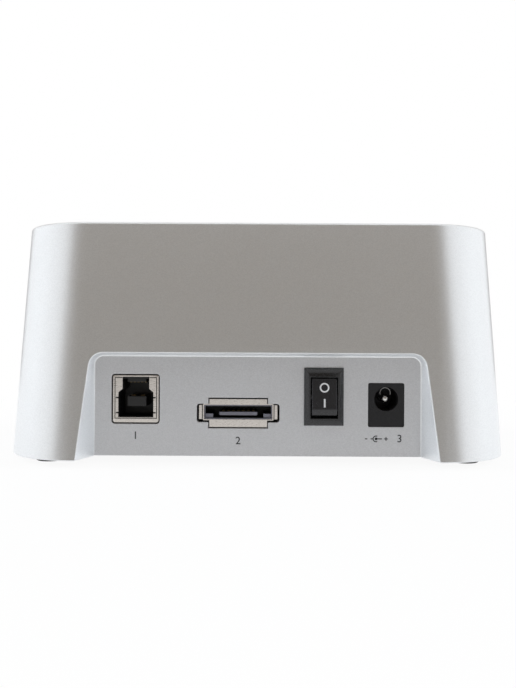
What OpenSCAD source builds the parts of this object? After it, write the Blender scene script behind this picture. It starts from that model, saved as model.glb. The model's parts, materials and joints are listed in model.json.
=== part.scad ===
// Hard drive docking station: a leaning silver shell over a drive well, with sockets and a rocker
// switch in a recess at the back. Millimetres, +Z up, front towards -Y, sockets towards +Y.
// The origin is on the table, under the middle of the body.

/* [Body] */
// Width of the shell
body_w = 129; // [128.5:0.5:136]
// Depth of the shell along its lower edge
body_d = 84; // [83:0.5:90]
// Height of the shell, without the feet
body_h = 60; // [58:0.5:64]
// Depth of the shell along its top edge
top_d = 55.6; // [53:0.1:60]
// Radius of the upright corners
corner_r = 20; // [15:0.5:24]
// Thickness of the shell
wall = 2.4; // [1.8:0.1:2.6]
// How far the top rim reaches in over the deck
rim_lip = 1.2; // [0.6:0.1:1.2]
// Thickness of the top rim above the deck
rim_h = 1.2; // [0.8:0.1:2]

/* [Base and feet] */
// Thickness of the base plate
base_t = 2.4; // [2:0.1:3]
// Step from the shell's lower edge up to the base plate
base_step = 0.2; // [0:0.1:0.4]
// Diameter of a foot
foot_d = 8; // [8:0.5:10]
// Height of a foot below the shell
foot_h = 1.8; // [1.2:0.1:3]
// Depth of the seat of a foot in the base plate
foot_seat = 0.6; // [0.3:0.1:1]
// Distance from the side of the shell to the middle of a foot
foot_in_x = 11; // [11:0.5:12]
// Distance from the front or back lower edge to the middle of a foot
foot_in_y = 13.5; // [12:0.5:14]

/* [Rear panel] */
// Distance of the panel in front of the shell's lower back edge
panel_set = 8; // [7:0.1:9]
// Width of the panel
panel_w = 82.2; // [80.4:0.1:86]
// Height of the panel above the shell's lower edge
panel_h = 25.4; // [22.6:0.1:27]
// Radius of the panel's upper corners
panel_r = 2.4; // [1:0.1:4]
// Thickness of the panel's face
panel_t = 1.1; // [0.8:0.1:1.4]
// Thickness of the flange behind the panel's face
flange_t = 1.8; // [1.2:0.1:2]
// How far the flange reaches behind the shell
flange_w = 1.7; // [1:0.1:1.8]
// Sideways opening of the recess for each millimetre of its depth
recess_splay = 0.35; // [0.2:0.01:0.5]

/* [Drive bay] */
// Width of the large drive
drive_w = 101.6; // [101:0.1:102]
// Thickness of the large drive
drive_t = 26.1; // [24:0.1:26.4]
// Width of the small drive
small_w = 69.85; // [68:0.05:72]
// Thickness of the window for the small drive
small_t = 13; // [10:0.5:15.5]
// Room left around a drive in width, both sides together
drive_clear = 2; // [1:0.1:2.4]
// Room left in thickness, with the open flap beside the drive
flap_room = 2.1; // [2:0.1:2.6]
// Distance from the large drive's edge to the middle of its connector
drive_pin_in = 33.4; // [32:0.1:34]
// Distance from the small drive's edge to the middle of its connector
small_pin_in = 25.5; // [24.5:0.1:26.5]
// Wall of the drive well
well_wall = 1.6; // [1.2:0.1:1.8]
// Thickness of the well's floor
floor_t = 2; // [1.6:0.1:2.4]
// Thickness of the top deck
deck_t = 2.4; // [2:0.1:3]

/* [Flap] */
// Thickness of the flap
flap_t = 1.8; // [1.5:0.1:2]
// Diameter of the flap's hinge pin
pin_d = 2; // [1.6:0.1:2.2]
// Radius of the flap's hinge barrel
barrel_r = 1.7; // [1.6:0.05:1.7]
// Wire of the flap's springs
coil_wire = 0.5; // [0.4:0.05:0.55]
// Turns of each flap spring
coil_turns = 5; // [3:1:6]

/* [Eject button] */
// Width of the button, front to back
button_w = 5; // [4.4:0.1:5.6]
// Length of the button
button_l = 14; // [10:0.5:15]
// How far the button stands above the deck
button_up = 1; // [0.4:0.1:1.4]
// Travel of the button
button_travel = 3.6; // [3:0.1:3.6]
// Diameter of the button's stem
stem_d = 3; // [2.4:0.1:3.2]
// Wire of the button's spring
spring_wire = 0.6; // [0.4:0.05:0.7]
// Turns of the button's spring
spring_turns = 7; // [4:1:8]

/* [Board] */
// Width of the circuit board
board_w = 80; // [79:0.5:81]
// Thickness of the circuit board
board_t = 1.6; // [1:0.1:1.8]
// Height of the board above the base plate
board_up = 3.4; // [3:0.1:3.6]

/* [Sockets] */
// Across position of the data socket
usb_x = 30.7; // [30:0.1:31.5]
// Height of the middle of the data socket above the shell's lower edge
usb_up = 14.45; // [14.4:0.05:14.8]
// Width of the data socket's shell
usb_w = 11.5; // [11:0.1:12]
// Height of the data socket's shell
usb_h = 11.9; // [11.4:0.1:12]
// Length of the data socket
usb_l = 17.4; // [16:0.1:17.8]
// Across position of the drive link socket
link_x = 4.9; // [4.4:0.1:5.4]
// Height of the middle of the drive link socket above the shell's lower edge
link_up = 11; // [10.8:0.05:11.4]
// Width inside the drive link socket's shell
link_w = 17.2; // [16.8:0.1:17.6]
// Height inside the drive link socket's shell
link_h = 3.6; // [3.2:0.1:3.8]
// Length of the drive link socket
link_l = 15; // [13:0.5:16]
// Across position of the power jack
jack_x = -32.3; // [-33:0.1:-32]
// Height of the middle of the power jack's face above the shell's lower edge
jack_up = 13.2; // [13.15:0.05:13.6]
// Width of the power jack's face
jack_w = 9; // [8.6:0.1:9.4]
// Height of the power jack's face
jack_h = 11; // [10.6:0.1:11.1]
// Length of the power jack
jack_l = 14.2; // [12:0.1:15]
// Diameter of the power jack's bore
jack_bore = 6; // [5.6:0.1:6.4]
// Diameter of the power jack's pin
jack_pin_d = 2; // [1.8:0.1:2.5]

/* [Rocker switch] */
// Across position of the switch
switch_x = -16.6; // [-17.2:0.1:-16.2]
// Height of the middle of the switch above the shell's lower edge
switch_up = 15.25; // [15.2:0.05:15.6]
// Width of the switch's bezel
bezel_w = 9.9; // [9.6:0.1:10.4]
// Height of the switch's bezel
bezel_h = 14.5; // [14.2:0.1:14.9]
// How far the bezel stands out of the panel
bezel_t = 1.7; // [1.2:0.1:2]
// Width of the rocker
rocker_w = 6.2; // [5.8:0.1:6.3]
// Height of the rocker
rocker_h = 9.2; // [8.8:0.1:9.3]
// Angle of the rocker at rest, with its lower end out
rocker_tilt = 10; // [8:0.5:11]

/* [Hidden] */
$fn = 48;

silver = "#b9b9b8";
black = "#1d1d1f";
steel = "#c9c5bd";
gold = "#c8a24a";

// Shared gaps
fit_gap = 0.2;      // beside a piece that is dropped into its place
run_gap = 0.3;      // beside a piece that moves
run_r = 0.05;       // between a pin and the bore that turns on it
press_r = 0.02;     // between a pin and the bore that holds it
panel_gap = 0.05;   // around the face of the rear panel
jack_gap = 0.06;    // around the face of the power jack
over = 1;           // extra length of a cut past a face

// Heights
body_z0 = foot_h;
body_z1 = body_z0 + body_h;
base_z0 = body_z0 + base_step;
base_z1 = base_z0 + base_t;
board_z0 = base_z1 + board_up;
board_z1 = board_z0 + board_t;
under_floor = 2.6;
floor_z0 = board_z1 + under_floor;
floor_z1 = floor_z0 + floor_t;
deck_z1 = body_z1 - rim_h;
deck_z0 = deck_z1 - deck_t;
flap_z1 = deck_z0 - run_gap;
flap_z0 = flap_z1 - flap_t;
hinge_drop = 0.1;
hinge_z = flap_z0 - hinge_drop;
boss_half = 2.3;
well_z1 = hinge_z - boss_half - run_gap - 0.5;

// Depths, from the panel at the back to the front of the well
lean_run = (body_d - top_d) / 2 / body_h;
face_lean = atan(lean_run);
lean_wall = wall / cos(face_lean);
panel_y = body_d / 2 - panel_set;
flange_y = panel_y - panel_t;
behind_panel = flange_y - flange_t;
port_gap = 0.8;
well_y1 = panel_y - usb_l - port_gap;
slot_ledge = 1.2;
slot_y1 = well_y1 - well_wall - slot_ledge;
slot_d = drive_t + flap_room;
slot_y0 = slot_y1 - slot_d;
hinge_in = 1;
hinge_y = slot_y0 - hinge_in;
well_in_y0 = hinge_y - barrel_r - run_gap - fit_gap;
well_in_y1 = slot_y1 + slot_ledge;
well_y0 = well_in_y0 - well_wall;
slot_w = drive_w + drive_clear;
well_in_w = slot_w + 2 * fit_gap;
well_w = well_in_w + 2 * well_wall;

// The drives stand against the back of the slot and share one connector
drive_back = 0.6;
drive_edge_x = -drive_w / 2;
sock_x = drive_edge_x + drive_pin_in;
pin_plane = 3.5;
sock_y = slot_y1 - drive_back - pin_plane;
sock_w = 42.8;
sock_d = 6.2;
window_gap = 0.9;
window_x0 = sock_x - small_pin_in - window_gap;
window_x1 = window_x0 + small_w + 2 * window_gap;
window_y0 = slot_y1 - small_t;

// Eject mechanism, behind the well on the -X side
side_in_x = body_w / 2 - wall;
lever_t = 2.4;
lever_w = 6;
ear_t = 1.8;
ear_half = 1.9;
ear_gap = 0.3;
ear_beside = 0.4;
mech_x = sock_x - sock_w / 2 - ear_beside - ear_t - ear_gap - lever_w / 2;
stem_r = stem_d / 2;
flange_over = 0.5;
button_flange_h = 1;
stem_y = well_y1 + button_w / 2 + flange_over;
arm_out = 6.5;
arm_in = 8;
lever_half = lever_t / 2;
lever_pivot_r = 1.7;
lever_z = floor_z0 - lever_pivot_r - run_gap - 0.1;
lever_y = stem_y - arm_out;
lever_tip_y = lever_y - arm_in;
lever_end = 1.6;
lever_out = 1.8;
nose_z = lever_z + lever_half + run_gap;
spring_slack = 3.1;
seat_drop = run_gap + button_flange_h + button_travel + spring_turns * spring_wire + spring_slack;
seat_t = 2;
seat_z1 = deck_z0 - seat_drop;
guide_up = 6;
guide_z0 = floor_z1 + guide_up;

// Sockets and switch heights
usb_z = body_z0 + usb_up;
link_z = body_z0 + link_up;
jack_z = body_z0 + jack_up;
switch_z = body_z0 + switch_up;
socket_gap = 0.2;

// Screws and the shell's bosses, low enough to pass under the well
screw_d = 2.8;
pilot_r = 1.1;
head_d = 5.2;
head_h = 1.4;
hole_gap = 0.2;
boss_r = 3;
boss_h = floor_z0 - base_z1 - 1.1;
boss_front = [well_w / 2 - 7.6, well_y0 - 1];
boss_back = [well_w / 2 - 2.6, well_y1 + 5.7];
boss_places = [for (x = [-1, 1], b = [boss_front, boss_back]) [x * b.x, b.y]];

// Feet beside the recess or, on a narrow body, in front of the rear screws
recess_half = panel_w / 2 + panel_set * recess_splay + 2.6;
foot_x = body_w / 2 - foot_in_x;
foot_y = body_d / 2 - foot_in_y;
foot_beside = foot_x - foot_d / 2 > recess_half;
foot_back_y = foot_beside ? foot_y : boss_back.y - head_d / 2 - foot_d / 2 - 1;
foot_places = [for (x = [-1, 1], y = [-foot_y, foot_back_y]) [x * foot_x, y]];

// Posts, board and lugs
post_r = 2.2;
post_x = well_w / 2 - 3.6;
post_in = 8;
post_ys = [well_y0 + post_in, sock_y - post_in];
standoff_r = 3;
board_front = 4.7;
board_y1 = behind_panel - 0.6;
board_y0 = -body_d / 2 + lean_wall + (board_z1 - body_z0) * lean_run + board_front;
standoff_x = board_w / 2 - 3.5;
standoff_in = 4;
standoff_gap = 10.9;
standoff_ys = [board_y0 + standoff_in, sock_y - standoff_gap];
lug_r = 2.6;
lug_t = 2;
back_lug_x = 28;
back_lug_y = well_y1 + lug_r + 0.8;
lug_places = [[-back_lug_x, back_lug_y], [back_lug_x, back_lug_y]];
deck_rib_x = 30;
deck_rib = [8, 1.2, 4];

// The upright corners stay clear of the well, the hinge and the lugs beside it
pin_half = slot_w / 2 + 3.2;
corner_side = side_in_x - pin_half - run_gap;
corner_front = body_d / 2 - lean_wall - (well_z1 - body_z0) * lean_run + hinge_y - boss_half - run_gap;
corner_room = wall + corner_side + corner_front + sqrt(2 * max(corner_side, 0) * corner_front);
corner_fit = min(corner_r, corner_room);

// Shell profiles

// Outline seen along the leaning corners, rounded at the outer end only and reaching inwards
module corner_outline(inset) {
    w = body_w - 2 * inset;
    r = corner_fit - inset;
    reach = body_d;
    translate([-w / 2, -reach]) square([w, reach - inset - r]);
    translate([-w / 2 + r, -reach]) square([w - 2 * r, reach - inset]);
    for (x = [-1, 1]) translate([x * (w / 2 - r), -inset - r]) circle(r);
}

// Prism along one leaning face, side 1 for the back and -1 for the front
module leaning_prism(side, inset) {
    translate([0, side * body_d / 2, body_z0]) rotate([side * face_lean, 0, 0])
        translate([0, 0, -body_d]) linear_extrude(body_h + 2 * body_d)
            mirror([0, side < 0 ? 1 : 0]) corner_outline(inset);
}

// The body's form, moved in by inset on every side, between two heights
module leaning_block(inset, z0, z1) {
    intersection() {
        leaning_prism(1, inset);
        leaning_prism(-1, inset);
        translate([-body_w, -body_d, z0]) cube([2 * body_w, 2 * body_d, z1 - z0]);
    }
}

// Upright outline of the panel, grown on its sides and top, standing below the shell's edge
module panel_outline(grow, low) {
    half = panel_w / 2 + grow;
    top = body_z0 + panel_h + grow;
    r = panel_r + max(grow, 0);
    translate([-half, low]) square([2 * half, top - r - low]);
    translate([-half + r, low]) square([2 * half - 2 * r, top - low]);
    for (x = [-1, 1]) translate([x * (half - r), top - r]) circle(r, $fn = 32);
}

// Slab with an upright outline, from y0 to y1
module upright(y0, y1) {
    translate([0, y1, 0]) rotate([90, 0, 0]) linear_extrude(y1 - y0) children();
}

// Room in front of the panel, opening outwards
module recess(grow) {
    reach = panel_set + 3;
    slice = 0.01;
    hull() {
        upright(panel_y, panel_y + slice) panel_outline(grow, body_z0 - over);
        upright(panel_y + reach, panel_y + reach + slice)
            panel_outline(grow + reach * recess_splay, body_z0 - over);
    }
    upright(flange_y, panel_y + slice) panel_outline(grow, body_z0 - over);
}

// Boss on a rib to the shell's front or back face, drilled from below
module shell_boss(at) {
    rib = 2;
    reach = body_d / 2 - abs(at.y);
    translate([at.x, at.y, base_z1]) difference() {
        union() {
            cylinder(r = boss_r, h = boss_h);
            translate([-rib / 2, at.y > 0 ? 0 : -reach, 0]) cube([rib, reach, boss_h]);
        }
        translate([0, 0, -over]) cylinder(r = pilot_r, h = boss_h);
    }
}

pipe_x = 5;
pipe_d = 3;
pipe_up = 3.2;
pipe_z = board_z1 + pipe_up;

module outer_shell() color(silver) {
    recess_wall = 2;
    difference() {
        union() {
            difference() {
                leaning_block(0, body_z0, body_z1);
                leaning_block(wall, body_z0 - over, deck_z1);
                leaning_block(wall + rim_lip, deck_z1 - over, body_z1 + over);
            }
            intersection() {
                leaning_block(0, body_z0, body_z1);
                recess(recess_wall);
            }
            intersection() {
                leaning_block(wall / 2, body_z0, body_z1);
                for (at = boss_places) shell_boss(at);
            }
        }
        recess(0);
        upright(behind_panel - fit_gap, flange_y) panel_outline(flange_w + fit_gap, body_z0 - over);
        for (x = [-1, 1]) translate([x * pipe_x, 0, pipe_z]) rotate([90, 0, 0])
            cylinder(d = pipe_d + fit_gap, h = body_d);
    }
}

// Rear panel, with the openings for the sockets

module rounded_opening(w, h, r) {
    square([w, h - 2 * r], center = true);
    square([w - 2 * r, h], center = true);
    for (x = [-1, 1], y = [-1, 1]) translate([x * (w / 2 - r), y * (h / 2 - r)]) circle(r, $fn = 24);
}

module usb_cutout() {
    gap = 0.3;
    rounded_opening(usb_w + 2 * gap, usb_h + 2 * gap, 0.8);
}

link_side_room = 1.8;     // beside the shell, for its side tabs
link_height_room = 0.525; // above and below the shell
link_cut_w = link_w + 2 * link_side_room;
link_cut_h = link_h + 2 * link_height_room;
link_flare_w = 15;
link_flare_h = 7.7;

module link_cutout() {
    rounded_opening(link_cut_w, link_cut_h, 0.7);
    square([link_flare_w, link_flare_h], center = true);
}

switch_body_w = bezel_w - 1.5;
switch_body_h = bezel_h - 1.7;

module rear_panel() color(silver) {
    difference() {
        union() {
            upright(flange_y, panel_y) panel_outline(-panel_gap, base_z0);
            upright(behind_panel, flange_y - 0.1) panel_outline(flange_w, base_z0);
            upright(flange_y - 0.2, flange_y + 0.1) panel_outline(-panel_gap, base_z0);
        }
        translate([usb_x, 0, usb_z]) upright(behind_panel - over, panel_y + over) usb_cutout();
        translate([link_x, 0, link_z]) upright(behind_panel - over, panel_y + over) link_cutout();
        translate([switch_x, 0, switch_z]) upright(behind_panel - over, panel_y + over)
            square([switch_body_w + 2 * socket_gap, switch_body_h + 2 * socket_gap], center = true);
        translate([jack_x, 0, jack_z]) upright(behind_panel - over, panel_y + over)
            square([jack_w + 2 * jack_gap, jack_h + 2 * jack_gap], center = true);
    }
}

// Base plate with its posts, standoffs, vents and screw seats

module tube_post(r, h) {
    difference() {
        cylinder(r = r, h = h);
        translate([0, 0, h - 3]) cylinder(r = pilot_r, h = 3 + over);
    }
}

module base_plate() color(black) {
    vent_w = 2;
    vent_l = 16;
    vent_step = 5;
    vents = 9;
    difference() {
        union() {
            leaning_block(wall + fit_gap, base_z0, base_z1);
            for (x = [-1, 1], y = post_ys) translate([x * post_x, y, base_z1 - 0.5])
                cylinder(r = post_r, h = floor_z0 - base_z1 + 0.5);
            for (x = [-1, 1], y = standoff_ys) translate([x * standoff_x, y, base_z1 - 0.5])
                tube_post(standoff_r, board_z0 - base_z1 + 0.5);
        }
        translate([-recess_half, behind_panel - run_gap, base_z0 - over])
            cube([2 * recess_half, body_d, base_t + 2 * over]);
        for (at = foot_places) translate([at.x, at.y, base_z0 - over])
            cylinder(d = foot_d + fit_gap, h = foot_seat + over);
        for (at = boss_places) translate([at.x, at.y, base_z0 - over]) {
            cylinder(d = screw_d + 2 * hole_gap, h = base_t + 2 * over);
            cylinder(d = head_d + 2 * hole_gap, h = head_h + over);
        }
        for (i = [0 : vents - 1], y = [-12, 12])
            translate([(i - (vents - 1) / 2) * vent_step - vent_w / 2, y - vent_l / 2, base_z0 - over])
                cube([vent_w, vent_l, base_t + 2 * over]);
    }
}

module rubber_feet() color("#2b2b2d") {
    edge = 0.6;
    for (at = foot_places) translate([at.x, at.y, 0]) {
        cylinder(d1 = foot_d - 2 * edge, d2 = foot_d, h = edge);
        translate([0, 0, edge]) cylinder(d = foot_d, h = base_z0 + foot_seat - edge);
    }
}

// Pan-head screw standing on its head, tip up, with a cross recess
module screw(length) {
    slot_w = 0.7;
    slot_l = 2.6;
    slot_h = 0.8;
    difference() {
        union() {
            cylinder(d = head_d, h = head_h);
            cylinder(r = pilot_r - press_r, h = head_h + length);
        }
        for (a = [0, 90]) rotate([0, 0, a]) translate([-slot_l / 2, -slot_w / 2, -over])
            cube([slot_l, slot_w, slot_h + over]);
    }
}

module base_screws() color(steel) {
    for (at = boss_places) translate([at.x, at.y, base_z0]) screw(base_t - head_h + boss_h - 2);
}

// Deck, flap and drive well

button_hole_w = button_w + 2 * run_gap;
button_hole_l = button_l + 2 * run_gap;
hinge_boss_t = 3;

module top_deck() color(black) {
    rib_y = well_y0 - fit_gap - deck_rib.y;
    difference() {
        union() {
            leaning_block(wall + fit_gap, deck_z0, deck_z1);
            for (x = [-1, 1]) translate([x * (pin_half - hinge_boss_t / 2), hinge_y, 0])
                translate([-hinge_boss_t / 2, -boss_half, hinge_z - boss_half])
                    cube([hinge_boss_t, 2 * boss_half, deck_z0 - hinge_z + boss_half + 0.5]);
            for (at = lug_places) translate([at.x, at.y, well_z1])
                cylinder(r = lug_r, h = deck_z0 - well_z1 + 0.5);
            for (x = [-1, 1]) translate([x * deck_rib_x - deck_rib.x / 2, rib_y, well_z1 - deck_rib.z])
                cube([deck_rib.x, deck_rib.y, deck_z0 - well_z1 + deck_rib.z + 0.5]);
        }
        translate([-slot_w / 2, slot_y0, deck_z0 - over]) cube([slot_w, slot_d, deck_t + 2 * over]);
        translate([mech_x - button_hole_l / 2, stem_y - button_hole_w / 2, deck_z0 - over])
            cube([button_hole_l, button_hole_w, deck_t + 2 * over]);
        translate([-pin_half - over, hinge_y, hinge_z]) rotate([0, 90, 0])
            cylinder(d = pin_d + 2 * press_r, h = 2 * (pin_half + over));
        for (at = lug_places) translate([at.x, at.y, well_z1 - over])
            cylinder(r = pilot_r, h = deck_z0 - well_z1 + over);
    }
}

deck_bite = 4;

module deck_screws() color(steel) {
    for (at = lug_places) translate([at.x, at.y, well_z1 - lug_t - head_h]) screw(lug_t + deck_bite);
}

// Bracket on the well's back that guides the button's stem
module stem_bracket(z0, t) {
    half = 4;
    reach = stem_y - well_y1 + half - 0.4;
    difference() {
        translate([mech_x - half, well_y1 - 0.5, z0]) cube([2 * half, reach + 0.5, t]);
        translate([mech_x, stem_y, z0 - over]) cylinder(r = stem_r + 0.1, h = t + 2 * over);
    }
}

// Ear under the well's floor that holds one end of the lever's pin
module lever_ear(side) {
    x0 = side > 0 ? mech_x + lever_w / 2 + ear_gap : mech_x - lever_w / 2 - ear_gap - ear_t;
    low = lever_z - ear_half;
    difference() {
        translate([x0, lever_y - ear_half, low]) cube([ear_t, 2 * ear_half, floor_z0 - low + 0.5]);
        translate([x0 - over, lever_y, lever_z]) rotate([0, 90, 0])
            cylinder(d = pin_d + 2 * press_r, h = ear_t + 2 * over);
    }
}

rib_w = 2;
rib_h = 10;
rib_step = 15;
tip_room = 0.9;

module drive_well() color(black) {
    difference() {
        union() {
            difference() {
                translate([-well_w / 2, well_y0, floor_z0])
                    cube([well_w, well_y1 - well_y0, well_z1 - floor_z0]);
                translate([-well_in_w / 2, well_in_y0, floor_z1])
                    cube([well_in_w, well_in_y1 - well_in_y0, well_z1 - floor_z1 + over]);
            }
            for (i = [-3, -1, 1, 3]) translate([i * rib_step - rib_w / 2, well_in_y0 - 0.5, floor_z0])
                cube([rib_w, slot_y0 + 0.8 - well_in_y0 + 0.5, floor_t + rib_h]);
            for (at = lug_places) translate([0, 0, well_z1 - lug_t]) well_lug(at);
            stem_bracket(seat_z1 - seat_t, seat_t);
            stem_bracket(guide_z0, seat_t);
            for (side = [-1, 1]) lever_ear(side);
        }
        translate([sock_x - sock_w / 2 - 0.3, sock_y - sock_d / 2 - 0.3, floor_z0 - over])
            cube([sock_w + 0.6, sock_d + 0.6, floor_t + 2 * over]);
        translate([mech_x - lever_w / 2 - run_gap, lever_tip_y - lever_end - tip_room, floor_z0 - over])
            cube([lever_w + 2 * run_gap, arm_in + lever_end + tip_room + 0.4, floor_t + 2 * over]);
        for (at = lug_places) translate([at.x, at.y, well_z1 - lug_t - over])
            cylinder(d = screw_d + 2 * hole_gap, h = lug_t + 2 * over);
    }
}

// Screw lug on the well's back, at its upper edge
module well_lug(at) {
    translate([at.x, at.y, 0]) cylinder(r = lug_r, h = lug_t);
    translate([at.x - lug_r, well_y1 - 0.5, 0]) cube([2 * lug_r, at.y - well_y1 + 0.5, lug_t]);
}

flap_half = slot_w / 2 - 2 * fit_gap;
flap_under = 0.8;
spring_x = 7;
coil_room = 5;
flap_rib = 1.5;
coil_r = pin_d / 2 + 0.5 + coil_wire / 2;

module flap_door() color("#232326") {
    y1 = slot_y1 + flap_under;
    notch_y = hinge_y + coil_r + coil_wire + 1;
    rib_z0 = hinge_z - coil_r + coil_wire / 2 + 0.1;
    room_h = 2 * barrel_r + flap_t + 2 * over;
    difference() {
        union() {
            translate([-flap_half, hinge_y, flap_z0]) cube([2 * flap_half, y1 - hinge_y, flap_t]);
            translate([-flap_half, hinge_y, hinge_z]) rotate([0, 90, 0])
                cylinder(r = barrel_r, h = 2 * flap_half);
            for (x = [-1, 1]) translate([x * spring_x - coil_room, notch_y, rib_z0])
                cube([2 * coil_room, flap_rib, flap_z0 - rib_z0 + 0.5]);
        }
        translate([-flap_half - over, hinge_y, hinge_z]) rotate([0, 90, 0])
            cylinder(r = pin_d / 2 + run_r, h = 2 * (flap_half + over));
        translate([window_x0, window_y0, flap_z0 - over])
            cube([window_x1 - window_x0, y1 - window_y0 + over, flap_t + 2 * over]);
        for (x = [-1, 1])
            translate([x * spring_x - coil_room, hinge_y - barrel_r - over, hinge_z - barrel_r - over])
                cube([2 * coil_room, notch_y - hinge_y + barrel_r + over, room_h]);
    }
}

module flap_pin() color(steel) {
    translate([-pin_half, hinge_y, hinge_z]) rotate([0, 90, 0]) cylinder(d = pin_d, h = 2 * pin_half);
}

// Swept round wire: one closed skin along a list of points

function unit(v) = v / norm(v);
function heading(p, i) = unit(p[min(i + 1, len(p) - 1)] - p[max(i - 1, 0)]);
function across(t, up) = unit(up - (up * t) * t);
// Carries the across direction along the route, so that the skin doesn't twist
function frames(p, up, i = 0) = i == len(p) ? [] :
    let (n = across(heading(p, i), up)) concat([n], frames(p, n, i + 1));
function ring(p, t, n, r, sides) = let (b = cross(t, n))
    [for (k = [0 : sides - 1]) p + r * (cos(360 * k / sides) * n + sin(360 * k / sides) * b)];

module wire(p, d, sides, up) {
    ns = frames(p, up);
    m = len(p);
    rings = [for (i = [0 : m - 1]) ring(p[i], heading(p, i), ns[i], d / 2, sides)];
    points = [for (r = rings) each r];
    walls = [for (i = [0 : m - 2], k = [0 : sides - 1], half = [0, 1])
        let (a = i * sides + k, b = i * sides + (k + 1) % sides)
        half == 0 ? [a, a + sides, b] : [b, a + sides, b + sides]];
    caps = concat([[for (k = [0 : sides - 1]) k]], [[for (k = [sides - 1 : -1 : 0]) (m - 1) * sides + k]]);
    polyhedron(points, concat(walls, caps));
}

curl_rings = 8;
wire_sides = 6;

// Least gap between parts of one wire that are at least half a curl apart, measured on its points
function own_gap(p, d) = min([for (i = [0 : len(p) - 1], j = [i + curl_rings / 2 : 1 : len(p) - 1])
    norm(p[i] - p[j])]) - d;

coil_pitch = coil_wire + 0.45;
leg_l = 7;
upper_leg_l = 4.4;
upper_leg_z = deck_z0 - coil_wire / 2 - 0.05;

// Flap spring: a lower leg under the flap's rib, turns on the pin, a leg that bends in under the deck
coil_l = coil_pitch * (coil_turns + 0.25);
function flap_coil(x) = let (end_x = x + coil_l, side_y = hinge_y - coil_r) concat(
    [[x, hinge_y + leg_l, hinge_z - coil_r], [x, hinge_y + leg_l / 2, hinge_z - coil_r]],
    [for (i = [0 : curl_rings * (coil_turns + 0.25)]) let (a = -90 - 360 * i / curl_rings)
        [x + coil_pitch * i / curl_rings, hinge_y + coil_r * cos(a), hinge_z + coil_r * sin(a)]],
    [[end_x, side_y - 0.1, hinge_z + 0.9], [end_x, side_y - 0.6, upper_leg_z - 0.3],
     [end_x, side_y - 1.4, upper_leg_z], [end_x, side_y - upper_leg_l, upper_leg_z]]);

module flap_springs() color(steel) {
    for (x = [-1, 1]) {
        route = flap_coil(x * spring_x - coil_l / 2);
        echo(flap_spring_gap = own_gap(route, coil_wire));
        wire(route, coil_wire, wire_sides, [1, 0, 0]);
    }
}

// Eject button, its spring, and the lever that lifts the drive

button_flange_z0 = deck_z0 - run_gap - button_flange_h;

module eject_button() color("#2a2a2d") {
    head_top = deck_z1 + button_up;
    flange_end = flange_over + 0.3;
    translate([mech_x, stem_y, 0]) {
        translate([-button_l / 2, -button_w / 2, button_flange_z0])
            cube([button_l, button_w, head_top - button_flange_z0]);
        translate([-button_l / 2 - flange_end, -button_w / 2 - flange_over, button_flange_z0])
            cube([button_l + 2 * flange_end, button_w + 2 * flange_over, button_flange_h]);
        translate([0, 0, nose_z + stem_r]) {
            cylinder(r = stem_r, h = button_flange_z0 - nose_z - stem_r + 0.5);
            sphere(r = stem_r);
        }
    }
}

spring_r = stem_r + 0.3 + spring_wire / 2;
spring_z0 = seat_z1 + spring_wire / 2 + 0.05;
spring_z1 = button_flange_z0 - spring_wire / 2 - 0.05;
spring_pitch = (spring_z1 - spring_z0) / spring_turns;

function button_coil() = [for (i = [0 : curl_rings * spring_turns]) let (a = 360 * i / curl_rings)
    [mech_x + spring_r * cos(a), stem_y + spring_r * sin(a), spring_z0 + spring_pitch * i / curl_rings]];

module button_spring() color(steel) {
    echo(button_spring_gap = own_gap(button_coil(), spring_wire));
    wire(button_coil(), spring_wire, wire_sides, [0, 0, 1]);
}

// Points round the lever's pivot, from one angle to another
arc_steps = 12;
function pivot_arc(from, to) = [for (i = [0 : arc_steps]) let (a = from + (to - from) * i / arc_steps)
    [lever_y + lever_pivot_r * cos(a), lever_z + lever_pivot_r * sin(a)]];

// Lever seen from its side: y to the right and z up, with a round boss at its pivot
module lever_side() {
    out_y = stem_y + lever_out;
    top = lever_z + lever_half;
    tip_z = floor_z1 - 0.4;
    chamfer = 0.8;
    boss_side = asin(lever_half / lever_pivot_r);
    polygon(concat(
        [[out_y, top], [out_y, lever_z - lever_half / 2]], pivot_arc(-30, boss_side - 180),
        [[lever_tip_y - lever_end, lever_z - lever_half], [lever_tip_y - lever_end, tip_z - chamfer],
         [lever_tip_y - lever_end + chamfer, tip_z], [lever_tip_y + lever_end - chamfer, tip_z],
         [lever_tip_y + lever_end, tip_z - chamfer], [lever_tip_y + lever_end, top]],
        pivot_arc(180 - boss_side, boss_side)
    ));
}

module eject_lever() color("#3a3a3e") {
    difference() {
        translate([mech_x - lever_w / 2, 0, 0]) rotate([90, 0, 90]) linear_extrude(lever_w) lever_side();
        translate([mech_x - lever_w, lever_y, lever_z]) rotate([0, 90, 0])
            cylinder(r = pin_d / 2 + run_r, h = 2 * lever_w);
    }
}

module lever_pin() color(steel) {
    half = lever_w / 2 + ear_gap + ear_t;
    translate([mech_x - half, lever_y, lever_z]) rotate([0, 90, 0]) cylinder(d = pin_d, h = 2 * half);
}

// Circuit board and what is soldered to it

notch_gap = 0.5;
notch_x = mech_x + lever_w / 2 + ear_gap + ear_t + notch_gap;
notch_half = ear_half + notch_gap;
lever_side_x = mech_x + lever_w / 2 + notch_gap;
lever_l = lever_end + arm_in + arm_out + lever_out;

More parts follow.
